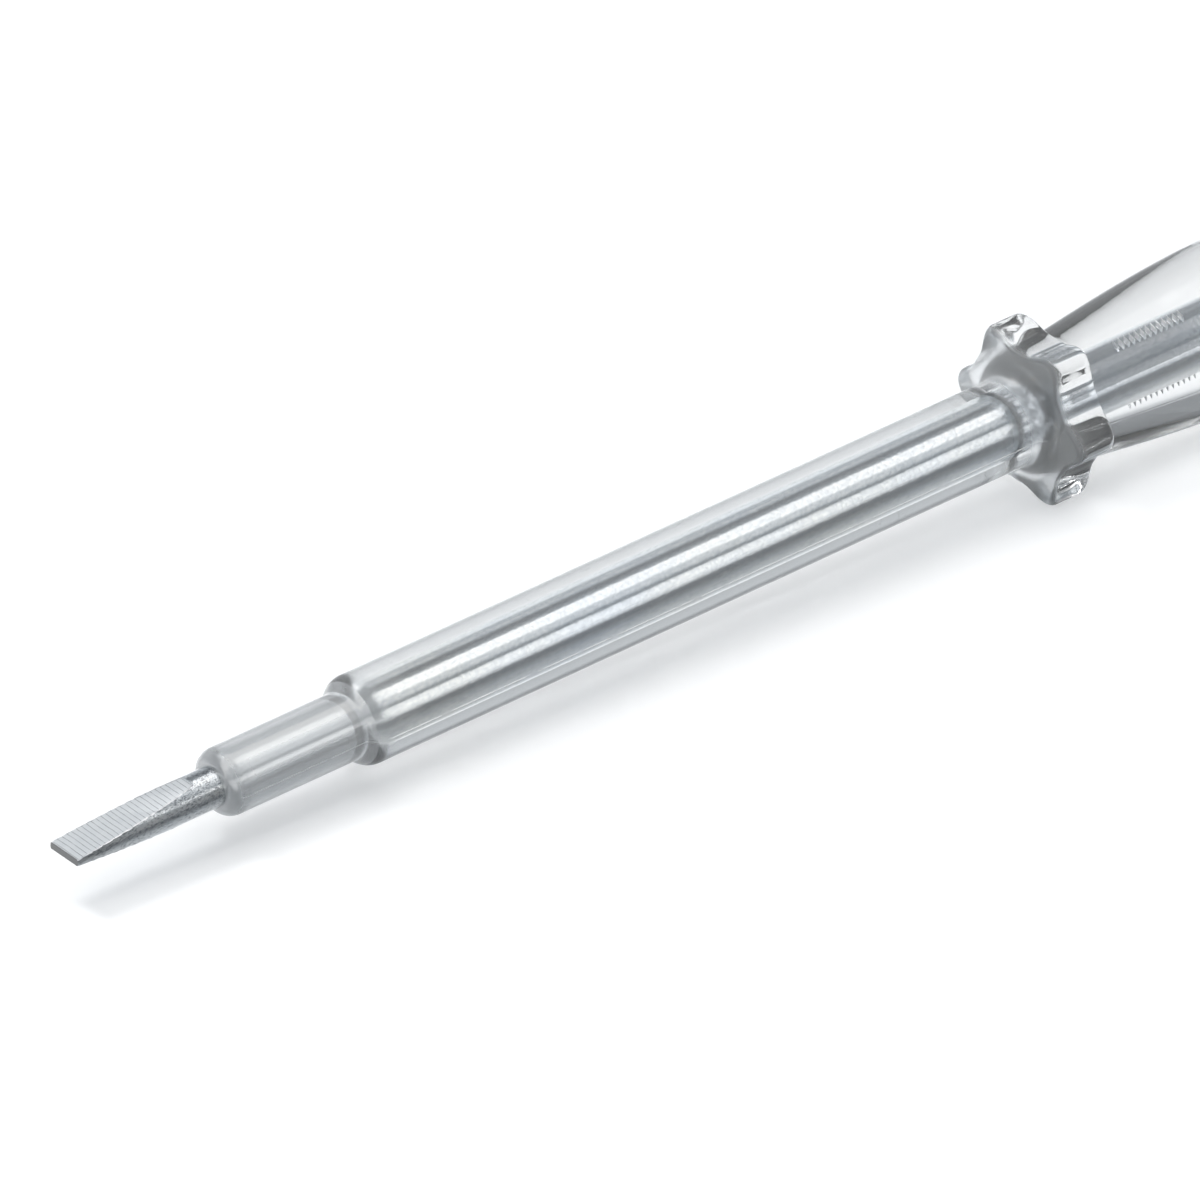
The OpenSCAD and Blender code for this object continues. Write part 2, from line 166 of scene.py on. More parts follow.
# Shares of the pitch that the crest and the flanks take
THREAD_CREST = 0.15
THREAD_FLANK = 0.7
HEAD_LENGTH = 7.5 * MM
HEAD_ROUND = 1.5 * MM
KNURLS = 30
KNURL_R = 0.35 * MM
KNURL_LAND = 1 * MM
SLOT_HALF = 0.7 * MM
SLOT_DEPTH = 1.6 * MM

# Pocket clip, by the middle of its sheet
SHEET = 0.5 * MM
RING_R = 6.1 * MM
RING_BORE_R = 3.95 * MM
ARM_Z = 9.15 * MM
ARM_HALF = 2.6 * MM
ARM_END_HALF = 1.8 * MM
ARM_TIP_ROUND = 1.4 * MM
TIP_NARROWS = 0.8
RISER_Z = 7.4 * MM
BEND_R = 0.95 * MM
DIP_LENGTH = 7 * MM
DIP_Z = 7.75 * MM
LIP_LENGTH = 3 * MM
LIP_RISE = 1.3 * MM
RING_X = REAR_X + SHEET / 2
BEND_X = REAR_X - BEND_R + SHEET / 2

# Points closer than this count as one
WELD = 0.0005 * MM
# Degrees that one step of a small rounded edge turns
EDGE_STEP = 30
# Places in the moulding's list of plastics, after its steps of milkiness
MILKY_STEPS = 5
PARTING_LINE = 5
SATIN_NOSE = 6
# Places in the rod's list of metals
GROUND = 1
BRIGHT = 2


# Node trees


def feed(tree, socket, value):
    """Links a socket to another socket, or sets it to a value."""
    if isinstance(value, bpy.types.NodeSocket):
        tree.links.new(value, socket)
    else:
        socket.default_value = value


def add(tree, kind, inputs=None, **settings):
    """A shader node with its settings and its sockets fed."""
    made = tree.nodes.new(kind)
    for name, value in settings.items():
        setattr(made, name, value)
    for name, value in (inputs or {}).items():
        feed(tree, made.inputs[name], value)
    return made


def maths(tree, operation, *values):
    """A Math node's output for values or sockets."""
    return add(tree, "ShaderNodeMath", dict(enumerate(values)), operation=operation).outputs[0]


def times(tree, first, second):
    """The product of two values or sockets."""
    return maths(tree, "MULTIPLY", first, second)


# Places of the colour sockets among a Mix node's inputs and outputs
MIX_FIRST, MIX_SECOND, MIX_RESULT = 6, 7, 2


def mixed(tree, share, first, second):
    """A colour between two colours, by a share from 0 to 1."""
    sockets = {0: share, MIX_FIRST: first, MIX_SECOND: second}
    return add(tree, "ShaderNodeMix", sockets, data_type="RGBA").outputs[MIX_RESULT]


def share_of(tree, value, low, high, top=1.0):
    """How far a value has gone from a low end to a high one, from 0 to a top."""
    ends = {"Value": value, "From Min": low, "From Max": high, "To Max": top}
    return add(tree, "ShaderNodeMapRange", ends).outputs[0]


def coordinates(tree, kind="Object"):
    """Texture coordinates, split into X, Y and Z."""
    place = tree.nodes.new("ShaderNodeTexCoord").outputs[kind]
    return add(tree, "ShaderNodeSeparateXYZ", {0: place}).outputs


def ramp(tree, value, stops, blending="LINEAR"):
    """A colour ramp of (place, grey or colour) stops."""
    made = add(tree, "ShaderNodeValToRGB", {"Fac": value})
    made.color_ramp.interpolation = blending
    elements = made.color_ramp.elements
    while len(elements) < len(stops):
        elements.new(0.5)
    for element, (place, colour) in zip(elements, stops):
        element.position = place
        element.color = colour if hasattr(colour, "__len__") else (colour, colour, colour, 1)
    return made.outputs[0]


def group(name, sliders, build):
    """A node group with named sliders that puts out one value that changes over the surface."""
    made = bpy.data.node_groups.new(name, "ShaderNodeTree")
    new_socket = made.interface.new_socket
    for slider, value in sliders.items():
        new_socket(slider, in_out="INPUT", socket_type="NodeSocketFloat").default_value = value
    new_socket("Value", in_out="OUTPUT", socket_type="NodeSocketFloat")
    inputs = made.nodes.new("NodeGroupInput").outputs
    place = made.nodes.new("ShaderNodeTexCoord").outputs["Object"]
    add(made, "NodeGroupOutput", {"Value": build(made, inputs, place)})
    return made


def effect(tree, shared, **sliders):
    """A shared group placed in a material with its own slider values."""
    made = tree.nodes.new("ShaderNodeGroup")
    made.node_tree = shared
    for slider, value in sliders.items():
        made.inputs[slider.replace("_", " ")].default_value = value
    return made.outputs["Value"]


def per_size(tree, size):
    """A texture's scale for a size in millimetres."""
    return maths(tree, "DIVIDE", 1 / MM, size)


def held(tree, value):
    """A value held between 0 and 1."""
    return add(tree, "ShaderNodeClamp", {"Value": value}).outputs[0]


def cloud(tree, inputs, place, detail):
    """Noise of a size, spread by the contrast and held between 0 and 1."""
    made = add(
        tree, "ShaderNodeTexNoise",
        {"Vector": place, "Scale": per_size(tree, inputs["Size"]), "Detail": detail, "Roughness": 0.6},
    )
    spread = times(tree, maths(tree, "SUBTRACT", made.outputs["Fac"], 0.5), inputs["Contrast"])
    return held(tree, maths(tree, "ADD", spread, 0.5))


def build_mottle(tree, inputs, place):
    """Cloudy patches, from 0 to 1, with a size in millimetres."""
    return cloud(tree, inputs, place, 3.0)


def build_streaks(tree, inputs, place):
    """Streaks drawn out along the axis, from 0 to 1."""
    squeeze = {"X": maths(tree, "DIVIDE", 1.0, inputs["Stretch"]), "Y": 1.0, "Z": 1.0}
    drawn = add(tree, "ShaderNodeCombineXYZ", squeeze).outputs[0]
    squeezed = add(tree, "ShaderNodeVectorMath", {0: place, 1: drawn}, operation="MULTIPLY").outputs[0]
    return cloud(tree, inputs, squeezed, 4.0)


def build_specks(tree, inputs, place):
    """Small round specks, 1 at their centres and 0 between them."""
    cells = add(tree, "ShaderNodeTexVoronoi", {"Vector": place, "Scale": per_size(tree, inputs["Spacing"])})
    inside = maths(tree, "SUBTRACT", inputs["Share"], cells.outputs["Distance"])
    return held(tree, maths(tree, "DIVIDE", inside, inputs["Share"]))


# How far scratches are bent off straight edges, and the scales of their bends and gaps against theirs
SCRATCH_BEND = 2 * MM
BEND_SCALE = 0.4
GAP_SCALE = 1.7


def build_scratches(tree, inputs, place):
    """Hairline scratches at odd angles, 1 on a scratch."""
    scale = per_size(tree, inputs["Spacing"])

    def noise_at(share):
        return add(tree, "ShaderNodeTexNoise", {"Vector": place, "Scale": times(tree, scale, share)})

    bend = {0: noise_at(BEND_SCALE).outputs["Color"], 1: (SCRATCH_BEND,) * 3}
    moved = add(tree, "ShaderNodeVectorMath", bend, operation="MULTIPLY").outputs[0]
    swirled = add(tree, "ShaderNodeVectorMath", {0: place, 1: moved}, operation="ADD").outputs[0]
    spots = {"Vector": swirled, "Scale": scale}
    cells = add(tree, "ShaderNodeTexVoronoi", spots, feature="DISTANCE_TO_EDGE")
    line = maths(tree, "LESS_THAN", cells.outputs["Distance"], inputs["Width"])
    bare = maths(tree, "GREATER_THAN", noise_at(GAP_SCALE).outputs["Fac"], inputs["Bareness"])
    return times(tree, line, bare)


mottle = group("Mottle", {"Size": 1.0, "Contrast": 1.0}, build_mottle)
streaks = group("Streaks", {"Size": 0.3, "Stretch": 8.0, "Contrast": 1.5}, build_streaks)
specks = group("Specks", {"Spacing": 3.0, "Share": 0.05}, build_specks)
scratches = group("Scratches", {"Spacing": 4.0, "Width": 0.01, "Bareness": 0.6}, build_scratches)


def bumped(tree, height, distance, strength=1.0, onto=None):
    """A surface normal roughened by a height map of the given depth."""
    made = add(tree, "ShaderNodeBump", {"Height": height, "Distance": distance, "Strength": strength})
    if onto:
        tree.links.new(onto, made.inputs["Normal"])
    return made.outputs[0]


def blank(name):
    """A material with one Principled shader, and its tree and shader."""
    material = bpy.data.materials.new(name)
    material.use_nodes = True
    tree = material.node_tree
    return material, tree, tree.nodes["Principled BSDF"]


def plug_in(tree, shader, **sockets):
    """Feeds the shader's own sockets."""
    for name, value in sockets.items():
        feed(tree, shader.inputs[name.replace("_", " ")], value)


# Finishes


# How coarse the rod's plating is, by place along it in millimetres
BARE_ZONES = [(0, 1.0), (15.8, 1.0), (17.0, 0.5), (18.2, 0.0)]
# How matt the moulding is, by place along it in millimetres
MATT_ZONES = [
    (15.2, 0.9), (16.4, 0.5), (17.6, 0.16), (27.9, 0.16), (28.7, 0.6), (30.4, 0.6), (31.8, 0.12),
    (33.5, 0.0), (98.2, 0.0), (98.9, 0.5), (99.4, 0.75), (101.3, 0.9), (101.7, 0.06), (104.9, 0.08),
    (105.3, 0.3), (107, 0.0),
]
# How milky it is, from 0 to 4, by place along it in millimetres
MILKY_ZONES = [(15.2, 4), (30.6, 4), (35, 0), (97.8, 0), (99.2, 4), (101.6, 4), (102.2, 1), (190, 1)]


def along_tool(tree, place, tones):
    """Tones given by place along a coordinate, in millimetres, as a ramp."""
    first, last = tones[0][0], tones[-1][0]
    share = share_of(tree, place, first * MM, last * MM)
    return ramp(tree, share, [((x - first) / (last - first), tone) for x, tone in tones])


# Clear plastic: depths of its waves and marks, its roughness where matt, and the light its shadow keeps
WAVE_DEPTH = 0.010 * MM
SCRATCH_DEPTH = 0.004 * MM
SPECK_DEPTH = 0.02 * MM
MATT_ROUGHNESS = 0.40
PLASTIC_LETS_THROUGH = 0.62


def clear_plastic(name, clearness, haze, satin=0.0):
    """Clear moulded plastic, faintly grey, with scratches and specks. Blurred where it's moulded matt."""
    material, tree, shader = blank(name)
    matt = along_tool(tree, coordinates(tree)["X"], MATT_ZONES)
    waves = bumped(tree, effect(tree, mottle, Size=2.6, Contrast=1.0), WAVE_DEPTH, 0.35)
    hairlines = effect(tree, scratches, Spacing=6.0, Width=0.006, Bareness=0.58)
    lines = bumped(tree, hairlines, SCRATCH_DEPTH, onto=waves)
    dots = bumped(tree, effect(tree, specks, Spacing=3.4, Share=0.04), SPECK_DEPTH, onto=lines)
    hazy = times(tree, effect(tree, streaks, Size=0.9, Stretch=5.0, Contrast=2.0), haze)
    blurred = times(tree, matt, MATT_ROUGHNESS)
    shadow = tree.nodes.new("ShaderNodeLightPath").outputs["Is Shadow Ray"]
    plug_in(
        tree, shader,
        Base_Color=mixed(tree, matt, (0.957, 0.962, 0.961, 1), (0.78, 0.81, 0.83, 1)),
        Coat_Weight=satin, Coat_IOR=2.3, Coat_Roughness=0.12,
        Transmission_Weight=clearness, IOR=1.49, Metallic=0.0,
        Roughness=maths(tree, "ADD", hazy, blurred), Normal=dots,
        Alpha=maths(tree, "SUBTRACT", 1.0, times(tree, shadow, PLASTIC_LETS_THROUGH)),
    )
    return material


# Plating: depths of its grain in millimetres, and above which level each kind of mark shows
GRIT_DEPTH = 0.0055
FINE_DEPTH = 0.0004
LINE_DEPTH = 0.0020
RING_SHOWS = 0.35
BREAK_SHOWS = 0.52
TICK_SHOWS = 0.80
PIT_SHOWS = 0.66


def zinc_plate():
    """Zinc-plated drawn rod: coarse where bare, streaked, with broken turned rings and ticks."""
    material, tree, shader = blank("zinc plate")
    along = coordinates(tree)["X"]
    bare = along_tool(tree, along, BARE_ZONES)
    wave = maths(tree, "SINE", times(tree, along, math.tau / RING_PITCH))
    from_rings = maths(tree, "ABSOLUTE", maths(tree, "SUBTRACT", along, RINGS_X))
    near = maths(tree, "LESS_THAN", from_rings, RINGS_HALF)
    broken = maths(tree, "GREATER_THAN", effect(tree, mottle, Size=0.3, Contrast=2.0), BREAK_SHOWS)
    turned = times(tree, maths(tree, "GREATER_THAN", wave, RING_SHOWS), near)
    rings = times(tree, turned, broken)
    ragged = effect(tree, streaks, Size=0.24, Stretch=1.8, Contrast=4.0)
    drawn = effect(tree, streaks, Size=0.35, Stretch=9.0, Contrast=2.0)
    tint = effect(tree, streaks, Size=9.0, Stretch=2.5, Contrast=3.0)
    across = effect(tree, streaks, Size=0.5, Stretch=0.12, Contrast=1.5)
    ticks = maths(tree, "GREATER_THAN", across, TICK_SHOWS)
    plate = mixed(tree, tint, (0.825, 0.86, 0.90, 1), (0.865, 0.865, 0.835, 1))
    dull = maths(tree, "ADD", times(tree, drawn, 0.20), times(tree, ragged, 0.22))
    aged = mixed(tree, dull, plate, (0.47, 0.52, 0.58, 1))
    coarse = effect(tree, mottle, Size=0.22, Contrast=6.0)
    grit = times(tree, coarse, times(tree, bare, GRIT_DEPTH))
    dents = effect(tree, streaks, Size=0.14, Stretch=2.2, Contrast=2.6)
    pits = times(tree, maths(tree, "GREATER_THAN", dents, PIT_SHOWS), bare)
    fine = times(tree, effect(tree, mottle, Size=0.14, Contrast=2.6), FINE_DEPTH)
    lines = times(tree, ragged, LINE_DEPTH)
    marks = maths(tree, "MAXIMUM", times(tree, ticks, 0.5), times(tree, rings, 0.7))
    marks = maths(tree, "MAXIMUM", marks, times(tree, pits, 0.7))
    plug_in(
        tree, shader,
        Base_Color=mixed(tree, marks, aged, (0.25, 0.26, 0.28, 1)), Metallic=1.0,
        Roughness=maths(tree, "ADD", 0.02, times(tree, drawn, 0.03)),
        Normal=bumped(tree, maths(tree, "ADD", maths(tree, "ADD", grit, fine), lines), MM),
    )
    return material


# Ground flat: half widths of a groove at its edge and floor, its depth, and the end of the sheared face
GROOVE_EDGE = 0.07
GROOVE_FLOOR = 0.02
GROOVE_DEPTH = 0.006 * MM
SHEARED_X = 0.05 * MM


def ground_steel():
    """Matt ground flat of the blade: the wheel's cross grooves, with painted shade darkening them, and the
    dark sheared end.
    """
    material, tree, shader = blank("ground steel")
    along = coordinates(tree)["X"]
    patches = effect(tree, mottle, Size=0.9, Contrast=2.0)
    grit = effect(tree, mottle, Size=0.09, Contrast=2.5)
    wander = times(tree, effect(tree, mottle, Size=2.2, Contrast=1.0), 0.35)
    phase = maths(tree, "FRACT", maths(tree, "ADD", maths(tree, "DIVIDE", along, GROOVE_PITCH), wander))
    from_line = maths(tree, "ABSOLUTE", maths(tree, "SUBTRACT", phase, 0.5))
    line = share_of(tree, from_line, GROOVE_EDGE, GROOVE_FLOOR)
    # Streaks that vary how deep each groove is and how much painted shade it gets
    uneven = share_of(tree, effect(tree, streaks, Size=0.5, Stretch=2.0, Contrast=2.0), 0.15, 0.55)
    groove = times(tree, line, maths(tree, "ADD", 0.35, times(tree, uneven, 0.6)))
    sheared = maths(tree, "LESS_THAN", along, SHEARED_X)
    pale = mixed(tree, patches, (0.95, 0.975, 0.99, 1), (0.87, 0.90, 0.925, 1))
    # Painted shade: the grooves are darkened in colour, not shaded by light
    painted_groove_shade = mixed(tree, groove, pale, (0.22, 0.23, 0.25, 1))
    colour = mixed(tree, sheared, painted_groove_shade, (0.20, 0.20, 0.20, 1))
    plug_in(
        tree, shader,
        Base_Color=colour, Metallic=0.6,
        Roughness=maths(tree, "ADD", 0.36, times(tree, grit, 0.14)),
        Normal=bumped(tree, maths(tree, "SUBTRACT", times(tree, grit, 0.3), groove), GROOVE_DEPTH),
    )
    return material


def finish(name, first, second, rough, metallic=1.0, size=0.6, depth=0.002):
    """A finish that wanders between two colours, with a grain of a size and depth in millimetres."""
    material, tree, shader = blank(name)
    patches = effect(tree, mottle, Size=size, Contrast=2.2)
    grain = effect(tree, mottle, Size=size / 5, Contrast=2.2)
    plug_in(
        tree, shader,
        Base_Color=mixed(tree, patches, (*first, 1), (*second, 1)), Metallic=metallic,
        Roughness=maths(tree, "ADD", rough, times(tree, grain, 0.10)),
        Normal=bumped(tree, grain, depth * MM),
    )
    return material


def lacquer(low_x, high_x):
    """Blue-grey resistor lacquer with four painted bands."""
    material, tree, shader = blank("resistor lacquer")
    wander = times(tree, effect(tree, mottle, Size=0.8, Contrast=1.0), 0.12 * MM)
    along = maths(tree, "ADD", coordinates(tree)["X"], wander)
    coat = (0.20, 0.36, 0.42, 1)
    brown = (0.20, 0.07, 0.03, 1)
    black = (0.012, 0.012, 0.012, 1)
    green = (0.03, 0.18, 0.06, 1)
    gold = (0.55, 0.36, 0.09, 1)
    bands = [(0.0, coat)]
    for start, band in ((0.12, brown), (0.32, black), (0.52, green), (0.80, gold)):
        bands += [(start, band), (start + 0.10, coat)]
    colour = ramp(tree, share_of(tree, along, low_x, high_x), bands, "CONSTANT")
    grain = effect(tree, mottle, Size=0.5, Contrast=1.6)
    plug_in(
        tree, shader,
        Base_Color=colour, Roughness=maths(tree, "ADD", 0.22, times(tree, grain, 0.1)),
        Normal=bumped(tree, grain, 0.006 * MM),
    )
    return material


# How much of the light passes the lamp's glass in its shadow
GLASS_LETS_THROUGH = 0.8


def lamp_glass_finish():
    """Clear lamp glass, faintly and unevenly smoky."""
    material, tree, shader = blank("lamp glass")
    smoke = effect(tree, mottle, Size=1.5, Contrast=1.4)
    shadow = tree.nodes.new("ShaderNodeLightPath").outputs["Is Shadow Ray"]
    plug_in(
        tree, shader,
        Base_Color=mixed(tree, smoke, (0.96, 0.97, 0.965, 1), (0.90, 0.91, 0.90, 1)),
        Transmission_Weight=1.0, IOR=1.5, Roughness=times(tree, smoke, 0.03), Metallic=0.0,
        Alpha=maths(tree, "SUBTRACT", 1.0, times(tree, shadow, GLASS_LETS_THROUGH)),
    )
    return material


# Shapes


def arc(centre, radius, start, end, step=9):
    """Points of an arc about (place, radius), from one angle in degrees to another."""
    count = max(2, math.ceil(abs(end - start) / step))
    angles = [math.radians(start + (end - start) * i / count) for i in range(count + 1)]
    return [(centre[0] + radius * math.cos(a), centre[1] + radius * math.sin(a)) for a in angles]


def filled(points, gap):
    """The same outline, with points added where two lie further apart than the gap."""
    made = [points[0]]
    for (x1, r1), (x2, r2) in zip(points, points[1:]):
        count = max(1, math.ceil(math.hypot(x2 - x1, r2 - r1) / gap))
        made += [(x1 + (x2 - x1) * i / count, r1 + (r2 - r1) * i / count) for i in range(1, count + 1)]
    return made


def spun(profile, steps, closed=False):
    """A profile of (place along the axis, radius) points turned about the X axis."""
    bm = bmesh.new()
    verts = [bm.verts.new((x, 0, r)) for x, r in profile]
    edges = [bm.edges.new(pair) for pair in zip(verts, verts[1:])]
    if closed:
        edges.append(bm.edges.new((verts[-1], verts[0])))
    bmesh.ops.spin(
        bm, geom=verts + edges, cent=(0, 0, 0), axis=(1, 0, 0), angle=math.tau, steps=steps, use_merge=True
    )
    bmesh.ops.remove_doubles(bm, verts=bm.verts, dist=WELD)
    bmesh.ops.recalc_face_normals(bm, faces=bm.faces)
    return bm


def mesh_object(name, bm, materials):
    """Turns a mesh into an object of the scene."""
    mesh = bpy.data.meshes.new(name)
    bm.to_mesh(mesh)
    bm.free()
    for material in materials:
        mesh.materials.append(material)
    made = bpy.data.objects.new(name, mesh)
    SCENE.collection.objects.link(made)
    return made


def piece(name, bm, materials, slot, body, *nodes, crease=30):
    """Turns a mesh into a piece that stands for CAD nodes. It rides on a body, or has none yet."""
    made = mesh_object(name, bm, materials)
    made.data.polygons.foreach_set("use_smooth", [True] * len(made.data.polygons))
    made.data.set_sharp_from_angle(angle=math.radians(crease))
    if body:
        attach(made, body)
    if nodes:
        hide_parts(*nodes)
    return made


def round_cut(radius, cutter_r, cutter_out, turn, beyond=0.0):
    """Radius left by a round cutter whose axis runs along X, a turn away from this point."""
    reach = cutter_r ** 2 - beyond ** 2 - (cutter_out * math.sin(turn)) ** 2
    if reach <= 0 or math.cos(turn) <= 0:
        return radius
    return min(radius, cutter_out * math.cos(turn) - math.sqrt(reach))


def turn_to_nearest(angle, count, offset=0.0):
    """Angle to the nearest of a number of evenly spaced places round the axis."""
    pitch = math.tau / count
    return (angle - offset + pitch / 2) % pitch - pitch / 2


def moulding_profile():
    """Closed outline of the clear moulding: outside from nose to rear, then back through its bores."""
    shoulder = (BARREL_X + BARREL_ROUND, BARREL_R - BARREL_ROUND)
    fillet_r = NOSE_R + NOSE_FILLET
    lean = math.asin((fillet_r - shoulder[1]) / (BARREL_ROUND + NOSE_FILLET))
    fillet = (shoulder[0] - (BARREL_ROUND + NOSE_FILLET) * math.cos(lean), fillet_r)
    lean = math.degrees(lean)
    flare = [
        (
            NECK_X + FLARE_LENGTH * i / FLARE_STEPS,
            NECK_R + (GRIP_R - NECK_R) * math.sin(math.pi / 2 * i / FLARE_STEPS),
        )
        for i in range(1, FLARE_STEPS + 1)
    ]
    outside = (
        [(NOSE_X, ROD_BORE_R)]
        + [
            (NOSE_X + NOSE_ROUND_LENGTH * (1 - math.cos(turn)), NOSE_R - NOSE_ROUND * (1 - math.sin(turn)))
            for turn in (math.pi / 2 * i / NOSE_STEPS for i in range(NOSE_STEPS + 1))
        ]
        + arc(fillet, NOSE_FILLET, 270, 360 - lean)
        + arc(shoulder, BARREL_ROUND, 180 - lean, 90, 6)
        + arc((COLLAR_X - COLLAR_FILLET, BARREL_R + COLLAR_FILLET), COLLAR_FILLET, 270, 360)
        + arc((COLLAR_X + COLLAR_FRONT_ROUND, LOBE_R - COLLAR_FRONT_ROUND), COLLAR_FRONT_ROUND, 180, 90)
        + arc((NECK_X - COLLAR_REAR_ROUND, LOBE_R - COLLAR_REAR_ROUND), COLLAR_REAR_ROUND, 90, 0)
        + arc((NECK_X + NECK_FILLET, NECK_R + NECK_FILLET), NECK_FILLET, 180, 260)
        + flare
        + arc((REAR_X - REAR_ROUND, GRIP_R - REAR_ROUND), REAR_ROUND, 90, 0)
    )
    inside = arc((REAR_X - BORE_EDGE, THREAD_BORE_R + BORE_EDGE), BORE_EDGE, 0, -90, EDGE_STEP)
    steps = ((THREAD_BORE_X, THREAD_BORE_R, LAMP_BORE_R), (LAMP_BORE_X, LAMP_BORE_R, RESISTOR_BORE_R))
    for x, wide, narrow in steps:
        inside += arc((x + BORE_EDGE, wide - BORE_EDGE), BORE_EDGE, 90, 180, EDGE_STEP)
        inside += arc((x - BORE_EDGE, narrow + BORE_EDGE), BORE_EDGE, 0, -90, EDGE_STEP)
    inside += arc((CHAMBER_X + BORE_EDGE, RESISTOR_BORE_R - BORE_EDGE), BORE_EDGE, 90, 180, EDGE_STEP)
    inside.append((CHAMBER_X, ROD_BORE_R))
    return filled(outside, 0.6 * MM) + filled(inside, 2.5 * MM)


FLUTE_X1 = NECK_X + FLARE_LENGTH + FLUTE_R
FLUTE_X2 = REAR_X - GRIP_RING - FLUTE_R
ROOT_R = BARREL_R + COLLAR_FILLET


def moulded_radius(x, r, angle):
    """Radius of the moulding's outside after its lobes and flutes, at an angle from straight up."""
    if COLLAR_X <= x <= NECK_X and r > ROOT_R:
        wave = LOBE_R - VALLEY_DEPTH + VALLEY_DEPTH * ((1 - math.cos(LOBES * angle)) / 2) ** LOBE_POINT
        return ROOT_R + (r - ROOT_R) * (wave - ROOT_R) / (LOBE_R - ROOT_R)
    if x > NECK_X + FLARE_LENGTH / 2 and r > GRIP_FLUTED_R:
        turn = turn_to_nearest(angle, FLUTES, math.pi / FLUTES)
        beyond = max(0.0, FLUTE_X1 - x, x - FLUTE_X2)
        return round_cut(r, FLUTE_R, GRIP_R + FLUTE_R - FLUTE_DEPTH, turn, beyond)
    return r


def seam_run(x, y):
    """Height of the parting line at a place, in shares of its full height: it comes and goes."""
    return max(0.0, SEAM_MEAN + noise.noise(Vector((x / MM * SEAM_WANDER, y / MM, 3.1))))


def clear_moulding():
    """Nose, barrel, star collar and handle, one clear moulding with its parting line."""
    bm = spun(moulding_profile(), steps=192, closed=True)
    for side in (-1, 1):
        bmesh.ops.bisect_plane(
            bm, geom=bm.verts[:] + bm.edges[:] + bm.faces[:], dist=WELD,
            plane_co=(0, 0, side * SEAM_HALF_WIDTH), plane_no=(0, 0, 1),
        )
    for vert in bm.verts:
        x, y, z = vert.co
        r = math.hypot(y, z)
        if r < NOSE_R - NOSE_ROUND:
            continue
        outside = r > THREAD_BORE_R + BORE_EDGE or x < COLLAR_X
        new_r = moulded_radius(x, r, math.atan2(y, z)) if outside else r
        if outside and abs(z) < WELD and not COLLAR_X < x < NECK_X:
            new_r += SEAM_HEIGHT * seam_run(x, y)
        vert.co.y *= new_r / r
        vert.co.z *= new_r / r
    for face in bm.faces:
        x, y, z = face.calc_center_median()
        on_seam = abs(z) < SEAM_HALF_WIDTH and abs(y) > SEAM_INNER_R and x < COLLAR_X
        milky = next(
            low + (high - low) * (x / MM - start) / (end - start)
            for (start, low), (end, high) in zip(MILKY_ZONES, MILKY_ZONES[1:]) if x / MM <= end
        )
        if on_seam and seam_run(x, y) > SEAM_SHOWS:
            face.material_index = PARTING_LINE
        elif x < BARREL_X + BARREL_ROUND / 2:
            face.material_index = SATIN_NOSE
        else:
            face.material_index = round(milky)
    plastics = [
        clear_plastic(f"clear plastic {step}", clearness=0.985 - 0.03 * step, haze=0.010)
        for step in range(MILKY_STEPS)
    ]
    plastics.append(clear_plastic("parting line", clearness=0.45, haze=0.10))
    plastics.append(clear_plastic("satin nose", clearness=0.68, haze=0.04, satin=1.0))
    return piece("clear_moulding", bm, plastics, "clear_plastic", "handle", "clear_body")


def cut(bm, faces, place, way):
    """Cuts faces along a plane."""
    edges = {e for f in faces for e in f.edges}
    verts = {v for f in faces for v in f.verts}
    bmesh.ops.bisect_plane(bm, geom=[*verts, *edges, *faces], dist=WELD, plane_co=place, plane_no=way)


def fill_loop(bm, edges, material_index=0):
    """Closes a loop of open edges with a face of the given material."""
    made = bmesh.ops.edgeloop_fill(bm, edges=edges)["faces"]
    for face in made:
        face.material_index = material_index
    return made


def grind_flat(bm, side):
    """Cuts one flat of the blade, closes it with its end step, and leaves a ragged burr on its edges."""
    slope = (FLAT_RISE - TIP_HALF) / FLAT_LENGTH
    on_plane = Vector((0, 0, side * TIP_HALF))
    plane_no = Vector((-slope, 0, side)).normalized()
    cut(bm, [f for f in bm.faces if f.calc_center_median().x < FLAT_LENGTH], on_plane, plane_no)
    above = [
        f for f in bm.faces
        if f.calc_center_median().x < FLAT_LENGTH
        and (f.calc_center_median() - on_plane).dot(plane_no) > WELD
    ]
    bmesh.ops.delete(bm, geom=above, context="FACES")
    corners = [
        v for v in bm.verts
        if v.is_boundary and abs(v.co.x - FLAT_LENGTH) < WELD and abs(side * v.co.z - FLAT_RISE) < 10 * WELD
    ]
    corner_edge = bm.edges.new(corners)
    rim = [e for e in bm.edges if e.is_boundary and side * (e.verts[0].co.z + e.verts[1].co.z) > 0]
    step = [e for e in rim if all(abs(v.co.x - FLAT_LENGTH) < WELD for v in e.verts)]
    fill_loop(bm, step + [corner_edge])
    flat = fill_loop(bm, [e for e in rim if e not in step] + [corner_edge], GROUND)
    bm.normal_update()
    sharp = [
        e for e in flat[0].edges
        if e.calc_face_angle(0) > BURR_ANGLE and abs(e.verts[0].co.x - e.verts[1].co.x) > WELD
    ]
    uneven = bmesh.ops.bevel(
        bm, geom=sharp, offset=BURR, offset_type="OFFSET", segments=1, profile=0.5, affect="EDGES",
        material=BRIGHT,
    )["verts"]
    for vert in uneven:
        vert.co.z += side * BURR * BURR_RAGGED * noise.noise(vert.co * BURR_GRAIN / MM)


